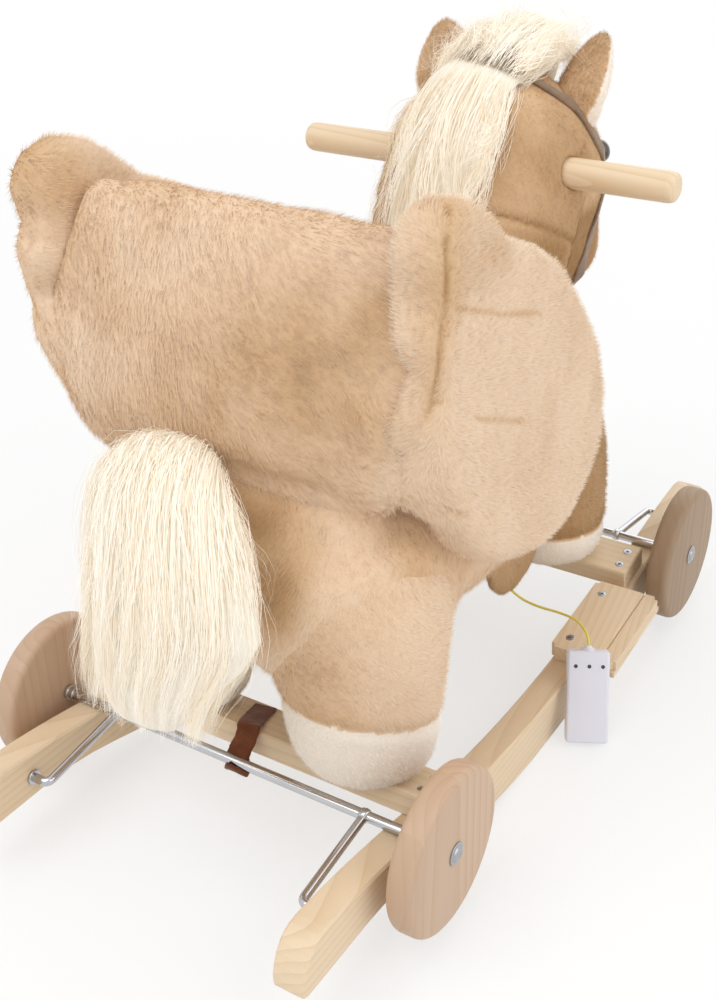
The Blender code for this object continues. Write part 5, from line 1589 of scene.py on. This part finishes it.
CABLE_POINTS = [(-0.080, -0.0675, 0.0883), (-0.0806, -0.0676, 0.0860), (-0.0911, -0.0688, 0.0800),
                (-0.1067, -0.0680, 0.0785), (-0.1257, -0.0670, 0.0795), (-0.1434, -0.0590, 0.0830)]
CABLE_DIAMETER = 0.0022
BOX_YAW = 28
BOX_LEAN = 26
BOX_SIZE = (0.0343, 0.016, 0.076)
BOX_PORT = [(0, 0.0), (0.0014, 0.0), (0.0016, 0.0003), (0.0011, 0.0004), (0.0009, 0.0002), (0, 0.0002)]
BOX_NECK = [(0, 0), (0.0056, 0.0), (0.0052, 0.0018), (0.0034, 0.0020), (0.0028, 0.0040), (0.0, 0.0040)]


class HORSE_OT_sound(bpy.types.Operator):
    """Sound box and its cable"""

    bl_idname = "horse.sound"
    bl_label = "Sound box"

    def execute(self, context):
        place, along = self.frame()
        wide, deep, tall = BOX_SIZE
        for name, y0, y1 in (("sound_box_front", deep * 0.5 + 0.0001, deep),
                             ("sound_box_back", 0.0, deep * 0.5 - 0.0001)):
            deselect()
            bpy.ops.mesh.primitive_cube_add(size=1.0, location=(0, (y0 + y1) / 2, tall / 2),
                                            scale=(wide, y1 - y0, tall))
            half = settled(bpy.context.object, name)
            outer = y1 if y0 > 0 else y0
            only(half)
            bpy.ops.object.mode_set(mode="EDIT")
            bm = bmesh.from_edit_mesh(half.data)
            for edge in bm.edges:
                a, b = edge.verts
                rim = abs(a.co.y - outer) < 1e-6 and abs(b.co.y - outer) < 1e-6
                upright = abs(a.co.y - b.co.y) > 1e-4
                edge.select_set(rim or upright)
            bmesh.update_edit_mesh(half.data)
            bpy.ops.mesh.bevel(offset=0.0024, segments=5)
            bpy.ops.object.mode_set(mode="OBJECT")
            apply(half, "BEVEL", width=0.0003, segments=2, angle_limit=math.radians(50))
            half.data.transform(place)
            wear(half, MATS["box"], replaces=["sound_box"], smooth=40)
        for k, x in enumerate((-0.0105, 0.0005, 0.0115)):
            dot = spun("sound_port", BOX_PORT, 20)
            spot = place @ Matrix.Translation((x, deep - 0.0001, tall - 0.0125))
            settled(dot, "sound_box_port_" + "abc"[k], spot @ Matrix.Rotation(-math.pi / 2, 4, "X"))
            wear(dot, MATS["dots"], smooth=40)
        neck = spun("sound_box_neck", rounded(BOX_NECK, 0.0004), 32)
        settled(neck, "sound_box_neck", place @ Matrix.Translation((0, deep / 2, tall - 0.0002)))
        wear(neck, MATS["box"], smooth=40)
        self.cable(place, along)
        return {"FINISHED"}

    def frame(self):
        """The box's own axes, with its low back corner taken from the CAD node."""
        yaw, lean = math.radians(BOX_YAW), math.radians(BOX_LEAN)
        wide = Vector((-math.cos(yaw), -math.sin(yaw), 0))
        flat = Vector((-math.sin(yaw), math.cos(yaw), 0))
        up = Vector((0, 0, 1))
        face = flat * math.cos(lean) + up * math.sin(lean)
        along = up * math.cos(lean) - flat * math.sin(lean)
        co = verts_of(NODES["sound_box"])
        sides = co @ np.array(wide)
        start = wide * float((sides.min() + sides.max()) / 2)
        start = start + face * float((co @ np.array(face)).min())
        start = start + along * float((co @ np.array(along)).min())
        place = Matrix((wide, face, along)).transposed().to_4x4()
        place.translation = start
        return place, along

    def cable(self, place, along):
        end = place @ Vector((0, BOX_SIZE[1] / 2, BOX_SIZE[2] + 0.004))
        turn_in = end + along * 0.0085 + Vector((0.0045, -0.0035, 0))
        route = [*map(Vector, CABLE_POINTS), turn_in, end + along * 0.004, end]
        t = np.linspace(0, 1, 36)
        points = path_at([tuple(p) for p in route], [(0.0,)] * len(route), t)[0]
        cable = line_curve("sound_cable_sleeve", points, CABLE_DIAMETER / 2, 5)
        cable.data.materials.append(MATS["cable"])
        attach(cable, ROOT)
        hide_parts("sound_cable")


OPERATORS = (HORSE_OT_stage, HORSE_OT_materials, HORSE_OT_sound, HORSE_OT_wood, HORSE_OT_metal, HORSE_OT_tack,
             HORSE_OT_plush, HORSE_OT_hair)


class HORSE_PT_panel(bpy.types.Panel):
    """Lists the pieces"""

    bl_idname = "HORSE_PT_panel"
    bl_label = "Plush horse"
    bl_space_type = "VIEW_3D"
    bl_region_type = "UI"
    bl_category = "Plush horse"

    def draw(self, context):
        layout = self.layout
        for operator in OPERATORS:
            layout.operator(operator.bl_idname)
        for group in (context.scene.plush_horse_looks, context.scene.plush_horse_sizes):
            box = layout.box()
            for key in group.bl_rna.properties.keys():
                if key not in ("rna_type", "name"):
                    box.prop(group, key)


CLASSES = (PlushHorseLooks, PlushHorseSizes, *OPERATORS, HORSE_PT_panel)


def register():
    for cls in CLASSES:
        bpy.utils.register_class(cls)
    bpy.types.Scene.plush_horse_looks = PointerProperty(type=PlushHorseLooks)
    bpy.types.Scene.plush_horse_sizes = PointerProperty(type=PlushHorseSizes)


def unregister():
    del bpy.types.Scene.plush_horse_sizes
    del bpy.types.Scene.plush_horse_looks
    for cls in reversed(CLASSES):
        bpy.utils.unregister_class(cls)


def main():
    register()
    bpy.ops.horse.stage()
    bpy.ops.horse.materials()
    bpy.ops.horse.sound()
    bpy.ops.horse.wood()
    bpy.ops.horse.metal()
    bpy.ops.horse.tack()
    bpy.ops.horse.plush()
    bpy.ops.horse.hair()


if __name__ == "__main__":
    main()
